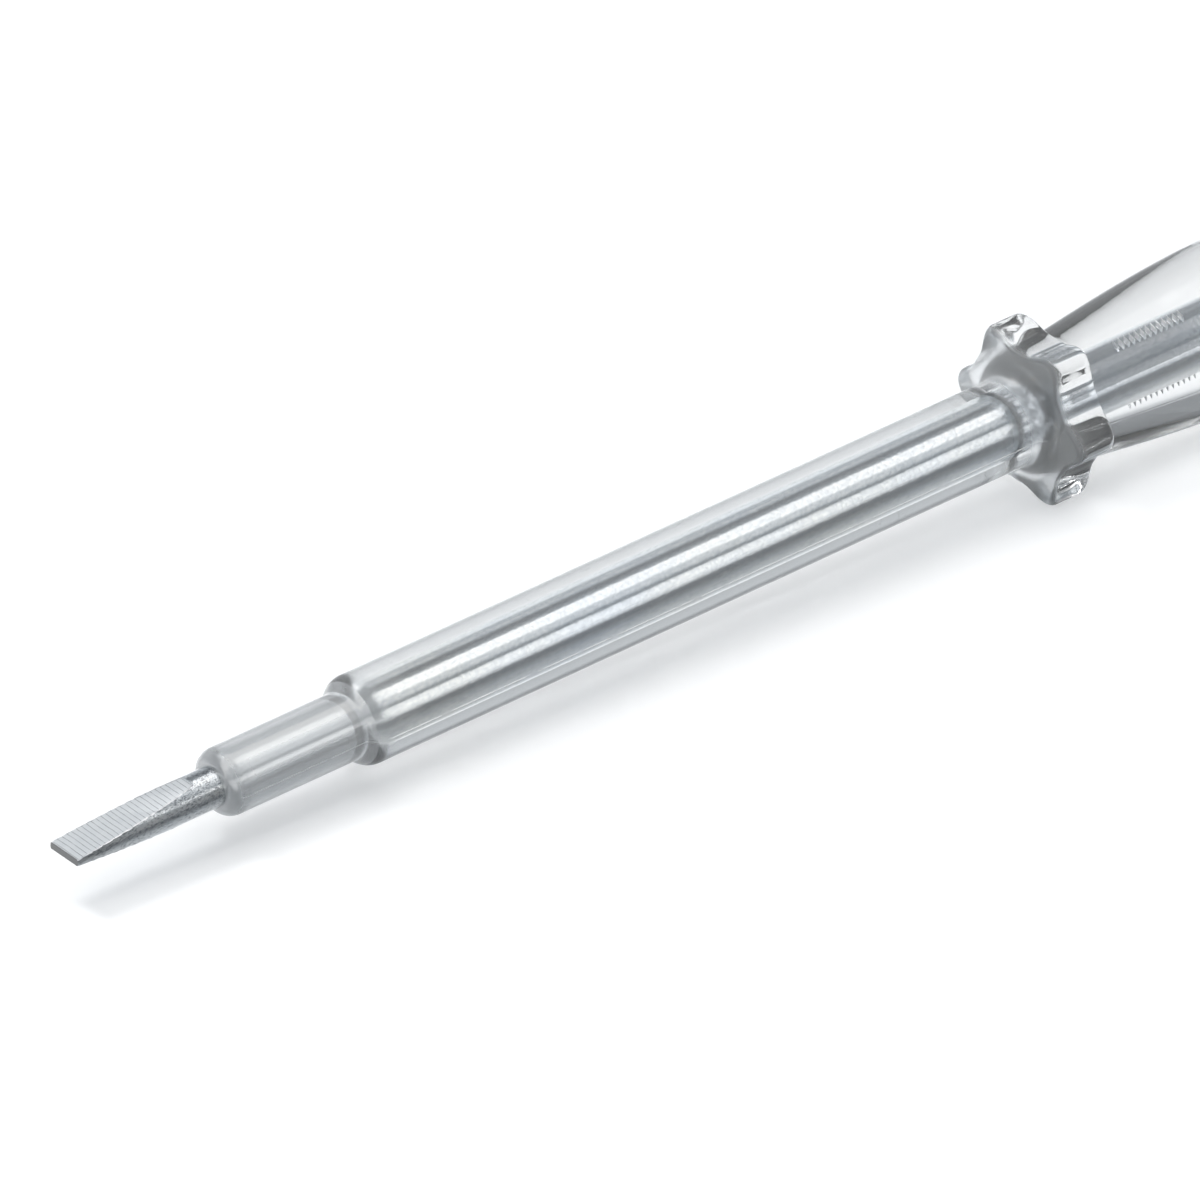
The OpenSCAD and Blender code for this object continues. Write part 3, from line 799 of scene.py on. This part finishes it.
def press_wings(bm):
    """Two toothed wings squeezed out of the rod, which keep it from turning in the moulding."""
    teeth = round(WING_LENGTH / TOOTH_PITCH)
    made = bmesh.ops.create_grid(bm, x_segments=teeth * TOOTH_ROWS, y_segments=14, size=1.0)["verts"]
    faces = list({f for v in made for f in v.link_faces})
    raised = bmesh.ops.extrude_face_region(bm, geom=faces)["geom"]
    top = [g for g in raised if isinstance(g, bmesh.types.BMVert)]
    bmesh.ops.translate(bm, verts=top, vec=(0, 0, 1))
    for vert in made + top:
        x = WING_X + WING_LENGTH * (vert.co.x + 1) / 2
        tooth = abs(math.cos(math.pi * (x - WING_X) / TOOTH_PITCH)) ** TOOTH_SHARPNESS
        half = ROD_BORE_R + (WING_SPAN_HALF - ROD_BORE_R) * tooth
        thick = WING_HALF * (0.5 + 0.5 * tooth) * (1 - 0.35 * abs(vert.co.y))
        vert.co = (x, thick * (1 if vert.co.z > 0.5 else -1), vert.co.y * half)
    for face in {f for v in made + top for f in v.link_faces}:
        face.material_index = BRIGHT


def steel_shank():
    """One drawn rod: ground blade, bare stretch, and the winged length inside the moulding."""
    profile = filled([(0, 0), (0, SHANK_R), (FLAT_LENGTH, SHANK_R)], 0.2 * MM)
    profile += filled([(FLAT_LENGTH, SHANK_R), (NOSE_X, SHANK_R)], 0.3 * MM)[1:]
    profile += filled([(NOSE_X, SHANK_R), (SHANK_END_X, SHANK_R), (SHANK_END_X, 0)], 2 * MM)[1:]
    bm = spun(profile, steps=96)
    bm.normal_update()
    for face in bm.faces:
        if abs(face.normal.x) > 0.9 and face.calc_center_median().x < FLAT_LENGTH:
            face.material_index = GROUND
    for side in (-1, 1):
        grind_flat(bm, side)
        bm.normal_update()
    press_wings(bm)
    bmesh.ops.recalc_face_normals(bm, faces=bm.faces)
    metals = [
        zinc_plate(), ground_steel(),
        finish("bright burr", (0.98, 0.985, 0.99), (0.72, 0.73, 0.75), 0.34, size=0.3),
    ]
    return piece("steel_shank", bm, metals, "steel", "handle", "blade_shank", crease=22)


def paint(node, material):
    """Gives a CAD node that stays in use its procedural finish."""
    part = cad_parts[node]
    if not part.material_slots:
        part.data.materials.append(material)
    for place in part.material_slots:
        place.material = material


def cup(name, node, material, slot, wall, hole=0.0):
    """A drawn end cap with rounded edges. Its outer end is closed but for a hole, if there is one."""
    low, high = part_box(node)
    depth, radius = high.x - low.x, high.y
    inner = radius - wall
    outline = (
        [(0, hole)]
        + arc((SHEET_ROUND, radius - SHEET_ROUND), SHEET_ROUND, 180, 90)
        + arc((depth - wall / 2, radius - wall / 2), wall / 2, 90, -90)
        + [(wall, inner), (wall, hole)]
    )
    front = "front" in node
    placed = [(low.x + x if front else high.x - x, r) for x, r in outline]
    bm = spun(filled(placed, 0.5 * MM), steps=72, closed=hole > 0)
    return piece(name, bm, [material], slot, "handle", node)


def resistor():
    """Ceramic core in its lacquer, with a tinned cap pressed on each end."""
    low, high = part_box("resistor_lacquer")
    lip = 0.12 * MM
    core_r = high.y - 0.19 * MM
    coat = (
        arc((low.x + lip, high.y - lip), lip, 180, 90, EDGE_STEP)
        + arc((high.x - lip, high.y - lip), lip, 90, 0, EDGE_STEP)
        + [(high.x, core_r), (low.x, core_r)]
    )
    bm = spun(filled(coat, 0.5 * MM), steps=72, closed=True)
    piece("lacquer_coat", bm, [lacquer(low.x, high.x)], "lacquer", "handle", "resistor_lacquer")
    tinned = finish("tinned cap", (0.80, 0.79, 0.77), (0.66, 0.655, 0.64), 0.24, size=0.8, depth=0.004)
    cup("resistor_cap_at_front", "resistor_front_cap", tinned, "tinned_cap", RESISTOR_CAP_WALL)
    cup("resistor_cap_at_rear", "resistor_rear_cap", tinned, "tinned_cap", RESISTOR_CAP_WALL)
    paint("resistor_core", finish("ceramic", (0.80, 0.74, 0.64), (0.70, 0.64, 0.55), 0.75, metallic=0.0))


def swept(points, radius):
    """A wire bent softly along a path."""
    path = bpy.data.curves.new("path", "CURVE")
    path.dimensions = "3D"
    path.bevel_depth = radius
    path.bevel_resolution = 4
    path.use_fill_caps = True
    line = path.splines.new("NURBS")
    line.points.add(len(points) - 1)
    for point, place in zip(line.points, points):
        point.co = (*place, 1)
    line.use_endpoint_u = True
    line.order_u = 3
    line.resolution_u = 8
    holder = bpy.data.objects.new("path", path)
    bm = bmesh.new()
    bm.from_mesh(holder.to_mesh())
    holder.to_mesh_clear()
    bpy.data.objects.remove(holder)
    bpy.data.curves.remove(path)
    bmesh.ops.remove_doubles(bm, verts=bm.verts, dist=WELD)
    bmesh.ops.recalc_face_normals(bm, faces=bm.faces)
    return bm


def glow_lamp():
    """Sealed glass tube with two electrodes on leads, and cemented brass caps with soldered ends."""
    low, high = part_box("lamp_glass")
    outer, inner = high.y, high.y - GLASS_WALL
    bulge, dome = 0.9 * MM, 1.2 * MM
    outline = (
        [(low.x, LEAD_HOLE_R)]
        + arc((low.x + bulge, outer - bulge), bulge, 180, 90)
        + arc((high.x - bulge, outer - bulge), bulge, 90, 0)
        + [(high.x, LEAD_HOLE_R), (high.x - GLASS_SEAL, LEAD_HOLE_R)]
        + arc((high.x - GLASS_SEAL - dome, inner - dome), dome, 0, 90)
        + arc((low.x + GLASS_SEAL + dome, inner - dome), dome, 90, 180)
        + [(low.x + GLASS_SEAL, LEAD_HOLE_R)]
    )
    bm = spun(filled(outline, 1 * MM), steps=96, closed=True)
    piece("lamp_tube", bm, [lamp_glass_finish()], "glass", "handle", "lamp_glass")
    nickel = finish("dull nickel", (0.72, 0.71, 0.68), (0.52, 0.51, 0.48), 0.38, size=0.5, depth=0.004)
    copper = finish("copper-clad wire", (0.80, 0.50, 0.34), (0.62, 0.36, 0.24), 0.30, size=0.4)
    cement = finish("lamp cement", (0.66, 0.61, 0.47), (0.50, 0.46, 0.34), 0.85, metallic=0.0, depth=0.02)
    brass = finish("pressed brass", (0.83, 0.68, 0.38), (0.70, 0.54, 0.27), 0.22, size=0.9, depth=0.003)
    solder = finish("solder", (0.74, 0.74, 0.75), (0.58, 0.58, 0.60), 0.30, size=0.4, depth=0.008)
    for end, height in (("front", ELECTRODE_Z), ("rear", -ELECTRODE_Z)):
        low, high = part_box(f"lamp_{end}_electrode")
        thick = (high.y - low.y) / 2
        rod = [(low.x, 0)] + arc((low.x + thick / 2, thick / 2), thick / 2, 180, 90)
        rod += arc((high.x - thick / 2, thick / 2), thick / 2, 90, 0) + [(high.x, 0)]
        bm = spun(filled(rod, 1 * MM), steps=32)
        bmesh.ops.translate(bm, verts=bm.verts, vec=(0, 0, height))
        piece(f"electrode_at_{end}", bm, [nickel], "nickel", "handle", f"lamp_{end}_electrode")
        low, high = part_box(f"lamp_{end}_lead")
        start, stop = (low.x, high.x) if end == "front" else (high.x, low.x)
        way = math.copysign(MM, stop - start)
        bends = [(start + way * x, 0, height * share) for x, share in LEAD_BENDS]
        bends.append((stop, 0, height))
        piece(f"lead_at_{end}", swept(bends, LEAD_R), [copper], "copper_lead", "handle", f"lamp_{end}_lead")
        low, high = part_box(f"lamp_{end}_cement")
        thick = 0.25 * MM
        neck = high.y - thick
        inside, outside = (low.x, high.x) if end == "front" else (high.x, low.x)
        ring = [(inside, neck), (inside, high.y), (outside, high.y), (outside - way * 0.2, neck)]
        bm = spun(filled(ring, 0.5 * MM), steps=72, closed=True)
        piece(f"cement_at_{end}", bm, [cement], "cement", "handle", f"lamp_{end}_cement")
        cup(f"brass_cap_at_{end}", f"lamp_{end}_cap", brass, "brass", LAMP_CAP_WALL, LEAD_HOLE_R)
        low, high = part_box(f"lamp_{end}_solder")
        tall, wide = high.x - low.x, high.y
        ball = (wide ** 2 + tall ** 2) / 2 / tall
        rim = math.degrees(math.asin(wide / ball))
        if end == "front":
            dome_line = arc((low.x + ball, 0), ball, 180, 180 - rim, 4) + [(high.x, 0)]
        else:
            dome_line = arc((high.x - ball, 0), ball, 0, rim, 4) + [(low.x, 0)]
        bm = spun(dome_line, steps=48)
        piece(f"solder_at_{end}", bm, [solder], "solder", "handle", f"lamp_{end}_solder")


def contact_spring():
    """Compression spring of round wire with closed end turns, squeezed between the lamp and the plug."""
    low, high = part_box("contact_spring")
    coil_r = high.y - WIRE_R
    middle = (high.x - low.x - 2 * WIRE_R - 2 * END_TURN_PITCH) / (SPRING_TURNS - 2)
    bm = bmesh.new()
    made = bmesh.ops.create_circle(bm, segments=14, radius=WIRE_R)["verts"]
    bmesh.ops.translate(bm, verts=made, vec=(low.x + WIRE_R, coil_r, 0))
    last = made + list({e for v in made for e in v.link_edges})
    for turns, pitch in ((1, END_TURN_PITCH), (SPRING_TURNS - 2, middle), (1, END_TURN_PITCH)):
        steps = turns * 40
        last = bmesh.ops.spin(
            bm, geom=last, cent=(0, 0, 0), axis=(1, 0, 0), dvec=(pitch * turns / steps, 0, 0),
            angle=math.tau * turns, steps=steps,
        )["geom_last"]
    open_edges = [e for e in bm.edges if e.is_boundary]
    bmesh.ops.holes_fill(bm, edges=open_edges)
    bmesh.ops.recalc_face_normals(bm, faces=bm.faces)
    wire = finish("plated spring wire", (0.82, 0.82, 0.82), (0.66, 0.66, 0.67), 0.16, size=0.7)
    made = piece("coil", bm, [wire], "spring_steel", None, "contact_spring", crease=40)
    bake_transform(made)


def threaded_radius(x, angle):
    """Radius of the plug's right-hand thread."""
    phase = (x / THREAD_PITCH - angle / math.tau) % 1
    height = min(1.0, max(0.0, (abs(phase - 0.5) * 2 - THREAD_CREST) / THREAD_FLANK))
    lead_in = STEM_R + (x - STEM_X) * LEAD_IN_SLOPE
    return min(THREAD_R - THREAD_DEPTH * height, lead_in)


def cut_slot(bm):
    """Saws the screwdriver slot across the plug's rear face."""
    floor_x = PLUG_X2 - SLOT_DEPTH
    cuts = (((0, SLOT_HALF, 0), (0, 1, 0)), ((0, -SLOT_HALF, 0), (0, 1, 0)), ((floor_x, 0, 0), (1, 0, 0)))
    for place, way in cuts:
        cut(bm, [f for f in bm.faces if max(v.co.x for v in f.verts) > floor_x - WELD], place, way)
    middles = [(f, f.calc_center_median()) for f in bm.faces]
    sawn = [f for f, middle in middles if middle.x > floor_x and abs(middle.y) < SLOT_HALF]
    bmesh.ops.delete(bm, geom=sawn, context="FACES")
    rim = [e for e in bm.edges if e.is_boundary]
    feet = []
    for side in (-1, 1):
        wall = [e for e in rim if all(abs(v.co.y - side * SLOT_HALF) < WELD for v in e.verts)]
        corners = {v for e in wall for v in e.verts if abs(v.co.x - floor_x) < WELD}
        ends = sorted(corners, key=lambda v: v.co.z)
        feet.append(bm.edges.new((ends[0], ends[-1])))
        fill_loop(bm, wall + feet[-1:])
    fill_loop(bm, [e for e in rim if all(abs(v.co.x - floor_x) < WELD for v in e.verts)] + feet)


def screw_plug():
    """Turned, knurled and slotted rear plug with its thread and the spigot that centres the spring."""
    head_x = PLUG_X2 - HEAD_LENGTH
    root_r = THREAD_R - THREAD_DEPTH
    edge = 0.3 * MM
    stem = (
        [(PLUG_X1, 0)]
        + arc((PLUG_X1 + edge, SPIGOT_R - edge), edge, 180, 90, EDGE_STEP)
        + [(STEM_X, SPIGOT_R), (STEM_X, STEM_R)]
    )
    thread = [
        (STEM_X + (REAR_X - 0.3 * MM - STEM_X) * i / THREAD_ROWS, THREAD_R)
        for i in range(1, THREAD_ROWS + 1)
    ]
    head = (
        [(REAR_X - 0.2 * MM, root_r), (head_x, root_r), (head_x, HEAD_R - edge)]
        + arc((head_x + edge, HEAD_R - edge), edge, 180, 90, EDGE_STEP)
        + arc((PLUG_X2 - HEAD_ROUND, HEAD_R - HEAD_ROUND), HEAD_ROUND, 90, 0)
        + [(PLUG_X2, 0)]
    )
    bm = spun(filled(stem, 0.6 * MM) + thread + filled(head, 0.14 * MM), steps=240)
    knurl_x1 = head_x + KNURL_LAND
    knurl_x2 = PLUG_X2 - HEAD_ROUND - KNURL_LAND
    for vert in bm.verts:
        x, y, z = vert.co
        r = math.hypot(y, z)
        angle = math.atan2(z, y)
        if abs(r - THREAD_R) < WELD and x < REAR_X:
            new_r = threaded_radius(x, angle)
        elif knurl_x1 - KNURL_R < x < knurl_x2 + KNURL_R and abs(r - HEAD_R) < WELD:
            beyond = max(0.0, knurl_x1 - x, x - knurl_x2)
            new_r = round_cut(r, KNURL_R, HEAD_R, turn_to_nearest(angle, KNURLS), beyond)
        else:
            continue
        vert.co.y *= new_r / r
        vert.co.z *= new_r / r
    cut_slot(bm)
    bmesh.ops.recalc_face_normals(bm, faces=bm.faces)
    plate = finish("nickel-plated brass", (0.80, 0.79, 0.76), (0.70, 0.69, 0.65), 0.14, size=1.2)
    piece("turned_plug", bm, [plate], "plated_brass", "plug", "screw_plug")


def clip_rows():
    """Places of the clip's sheet from its ring to the free end, as (x, z, half width)."""
    bend_z = ARM_Z - BEND_R
    end_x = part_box("clip_arm")[0].x
    rows = [(RING_X, RING_R + 0.5 * MM, ARM_HALF), (RING_X, RISER_Z, ARM_HALF)]
    rows += [(x, z, ARM_HALF) for x, z in arc((BEND_X, bend_z), BEND_R, 0, 90, 11)]
    dip_x = end_x + LIP_LENGTH + DIP_LENGTH
    steps = 60
    for i in range(1, steps + 1):
        x = BEND_X + (end_x - BEND_X) * i / steps
        half = ARM_HALF + (ARM_END_HALF - ARM_HALF) * i / steps
        to_tip = (x - end_x) / ARM_TIP_ROUND
        if to_tip < 1:
            half *= math.sqrt(1 - TIP_NARROWS * (1 - to_tip) ** 2)
        sag = min(1.0, max(0.0, (dip_x - x) / DIP_LENGTH))
        lift = max(0.0, (end_x + LIP_LENGTH - x) / LIP_LENGTH)
        z = DIP_Z + (ARM_Z - DIP_Z) * (1 + math.cos(math.pi * sag)) / 2 + LIP_RISE * lift ** 2
        rows.append((x, z, half))
    return rows


def pocket_clip():
    """Ring, riser and arm of the clip, bent from one strip of spring steel."""
    bm = spun([(RING_X, RING_BORE_R), (RING_X, RING_R)], steps=96)
    top = {v for v in bm.verts if v.co.yz.length > RING_R - 0.1 * MM and v.co.z > 0}
    growing = [e for e in bm.edges if all(v in top and abs(v.co.y) < ARM_HALF * 1.06 for v in e.verts)]
    width = max(abs(v.co.y) for e in growing for v in e.verts)
    for x, z, half in clip_rows():
        grown = bmesh.ops.extrude_edge_only(bm, edges=growing)["geom"]
        fresh = [g for g in grown if isinstance(g, bmesh.types.BMVert)]
        edges = [g for g in grown if isinstance(g, bmesh.types.BMEdge)]
        growing = [e for e in edges if all(v in fresh for v in e.verts)]
        for vert in fresh:
            vert.co = (x, vert.co.y / width * half, z)
        width = half
    bmesh.ops.recalc_face_normals(bm, faces=bm.faces)
    steel = finish("clip spring steel", (0.80, 0.80, 0.81), (0.68, 0.68, 0.70), 0.20, size=2.0)
    sheet = piece("clip_sheet", bm, [steel], "spring_steel", None)
    thick = sheet.modifiers.new("thickness", "SOLIDIFY")
    thick.thickness = SHEET
    thick.offset = 0
    rounded = sheet.modifiers.new("edges", "BEVEL")
    rounded.width = 0.1 * MM
    rounded.segments = 3
    rounded.limit_method = "ANGLE"
    rounded.angle_limit = math.radians(50)
    bpy.context.view_layer.update()
    final = bpy.data.meshes.new_from_object(sheet.evaluated_get(bpy.context.evaluated_depsgraph_get()))
    sheet.modifiers.clear()
    sheet.data = final
    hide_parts("clip_ring", "clip_arm")
    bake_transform(sheet)


# Studio


# Table: its height under the axis, its tilt, half its width, and its glow towards camera and reflections
FLOOR_Z = -7.1 * MM
FLOOR_SLOPE = 0.024
FLOOR_HALF = 2.0
FLOOR_GLOW = 0.22
# Tones that the table shows to the tool, by place across the tool in millimetres
FLOOR_TONES = [
    (-64, 0.82), (-34, 0.60), (-20, 0.17), (-12, 0.13), (-8.6, 0.17), (-6, 0.27), (-4, 0.46), (-2.5, 0.60),
    (-1, 0.74), (2, 0.76), (6, 0.92), (25, 0.84), (45, 0.55), (60, 0.48), (90, 0.44),
]
# How much bluer than grey the darkest tone is
COOLNESS = 0.075


def cool(level):
    """A grey that turns bluish as it gets darker."""
    share = max(0.0, 1 - level) * COOLNESS
    return (level * (1 - share), level, level * (1 + share), 1)


def sweep_floor():
    """White table that keeps the tool's shadow. Its mirror image falls off to the dark studio."""
    bm = bmesh.new()
    bmesh.ops.create_grid(bm, x_segments=2, y_segments=2, size=FLOOR_HALF)
    bmesh.ops.rotate(bm, verts=bm.verts, cent=(0, 0, 0), matrix=Matrix.Rotation(FLOOR_SLOPE, 3, "Y"))
    bmesh.ops.translate(bm, verts=bm.verts, vec=(COLLAR_X, 0, FLOOR_Z))
    material, tree, shader = blank("white table")
    light = tree.nodes.new("ShaderNodeLightPath").outputs
    seen = light["Is Camera Ray"]
    tones = along_tool(tree, coordinates(tree)["Y"], [(y, cool(level)) for y, level in FLOOR_TONES])
    mirrored = maths(tree, "MAXIMUM", light["Is Glossy Ray"], light["Is Transmission Ray"])
    share = maths(tree, "MAXIMUM", seen, tones)
    lift = times(tree, maths(tree, "MAXIMUM", seen, mirrored), FLOOR_GLOW)
    plug_in(
        tree, shader,
        Base_Color=mixed(tree, seen, tones, (0.83, 0.835, 0.84, 1)),
        Roughness=1.0, Specular_IOR_Level=0.0,
        Emission_Color=(1, 1, 1, 1), Emission_Strength=times(tree, lift, share),
    )
    made = mesh_object("table", bm, [material])


FLAG_LENGTH = 36 * MM
FLAG_HEIGHT = 15 * MM
FLAG_CENTRE = (24.5 * MM, -22 * MM, 0.5 * MM)
# The card is paler at the end that the bare rod reflects
FLAG_ZONES = [(26, 1.0), (31, 0.0)]


def front_flag():
    """Small grey card on the near side of the blade and the nose, there only for their reflections."""
    bm = bmesh.new()
    bmesh.ops.create_grid(bm, x_segments=1, y_segments=1, size=0.5)
    bmesh.ops.scale(bm, verts=bm.verts, vec=(FLAG_LENGTH, FLAG_HEIGHT, 1))
    bmesh.ops.rotate(bm, verts=bm.verts, cent=(0, 0, 0), matrix=Matrix.Rotation(math.pi / 2, 3, "X"))
    bmesh.ops.translate(bm, verts=bm.verts, vec=FLAG_CENTRE)
    material, tree, shader = blank("grey card")
    pale = along_tool(tree, coordinates(tree)["X"], FLAG_ZONES)
    grey = mixed(tree, pale, (0.27, 0.275, 0.28, 1), (0.62, 0.625, 0.63, 1))
    plug_in(tree, shader, Base_Color=grey, Roughness=1.0, Specular_IOR_Level=0.0)
    made = mesh_object("flag", bm, [material])
    made.visible_camera = False
    made.visible_diffuse = False
    made.visible_shadow = False
    made.visible_transmission = False


# Brightness round the tool's axis, in degrees from the near horizon over the top to the far one
SKY = [
    (-9, 0.98), (2, 1.18), (6, 1.24), (15, 1.24), (24, 1.18), (29, 1.02), (33, 0.44), (38, 0.33),
    (43, 0.50), (47, 0.66), (54, 0.82), (66, 0.80), (72, 0.95), (75, 1.42), (110, 1.42), (114, 0.80),
    (118, 0.42), (126, 0.30), (138, 0.20), (147, 0.23), (153, 0.42), (160, 0.58), (170, 0.56), (179, 0.50),
]
SKY_TOP = 1.42
# How far towards the handle's end the dark end of the studio starts and is full, and how much it covers
END_STARTS = 0.56
END_FULL = 0.64
END_SHARE = 0.85


def studio_light():
    """A dome banded round the tool as softboxes and dark gaps are, and a large key softbox above."""
    world = bpy.data.worlds.new("studio")
    SCENE.world = world
    world.use_nodes = True
    tree = world.node_tree
    way = coordinates(tree, "Generated")
    round_axis = maths(tree, "ARCTAN2", way["Z"], times(tree, way["Y"], -1.0))
    share = maths(tree, "ADD", maths(tree, "DIVIDE", round_axis, math.tau), 0.5)
    banded = ramp(tree, share, [(angle / 360 + 0.5, cool(value / SKY_TOP)) for angle, value in SKY])
    past_end = share_of(tree, way["X"], END_STARTS, END_FULL, END_SHARE)
    level = mixed(tree, past_end, banded, (0.16, 0.17, 0.18, 1))
    seen = tree.nodes.new("ShaderNodeLightPath").outputs["Is Camera Ray"]
    colour = mixed(tree, seen, level, (1, 1, 1, 1))
    strength = maths(tree, "ADD", times(tree, seen, 1 - SKY_TOP), SKY_TOP)
    background = tree.nodes["Background"]
    tree.links.new(colour, background.inputs["Color"])
    tree.links.new(strength, background.inputs["Strength"])
    key = bpy.data.lights.new("key softbox", "AREA")
    key.shape = "DISK"
    key.size = 0.3
    key.energy = 3.3
    lamp = bpy.data.objects.new("key softbox", key)
    SCENE.collection.objects.link(lamp)
    towards = Vector((-0.22, 0.46, 0.87)).normalized()
    lamp.location = PICTURE_CENTRE + towards
    lamp.rotation_euler = towards.to_track_quat("Z", "Y").to_euler()
    lamp.visible_camera = False
    lamp.visible_glossy = False


def camera():
    """The photograph's view."""
    made = bpy.data.objects.new("camera", bpy.data.cameras.new("camera"))
    SCENE.collection.objects.link(made)
    SCENE.camera = made
    made.data.lens = CAMERA_LENS
    made.data.sensor_width = 36
    made.data.clip_start = 0.05
    made.data.clip_end = 20
    back = Vector((
        math.sin(CAMERA_AZIMUTH) * math.cos(CAMERA_ELEVATION),
        -math.cos(CAMERA_AZIMUTH) * math.cos(CAMERA_ELEVATION),
        math.sin(CAMERA_ELEVATION),
    ))
    turn = back.to_track_quat("Z", "Y")
    aim = PICTURE_CENTRE + turn @ Vector((CAMERA_RIGHT_SHIFT, CAMERA_UP_SHIFT, 0))
    made.location = aim + back * CAMERA_DISTANCE
    made.rotation_euler = turn.to_euler()


camera()
studio_light()
sweep_floor()
front_flag()
clear_moulding()
steel_shank()
resistor()
glow_lamp()
contact_spring()
screw_plug()
pocket_clip()

SCENE.view_settings.view_transform = "Standard"
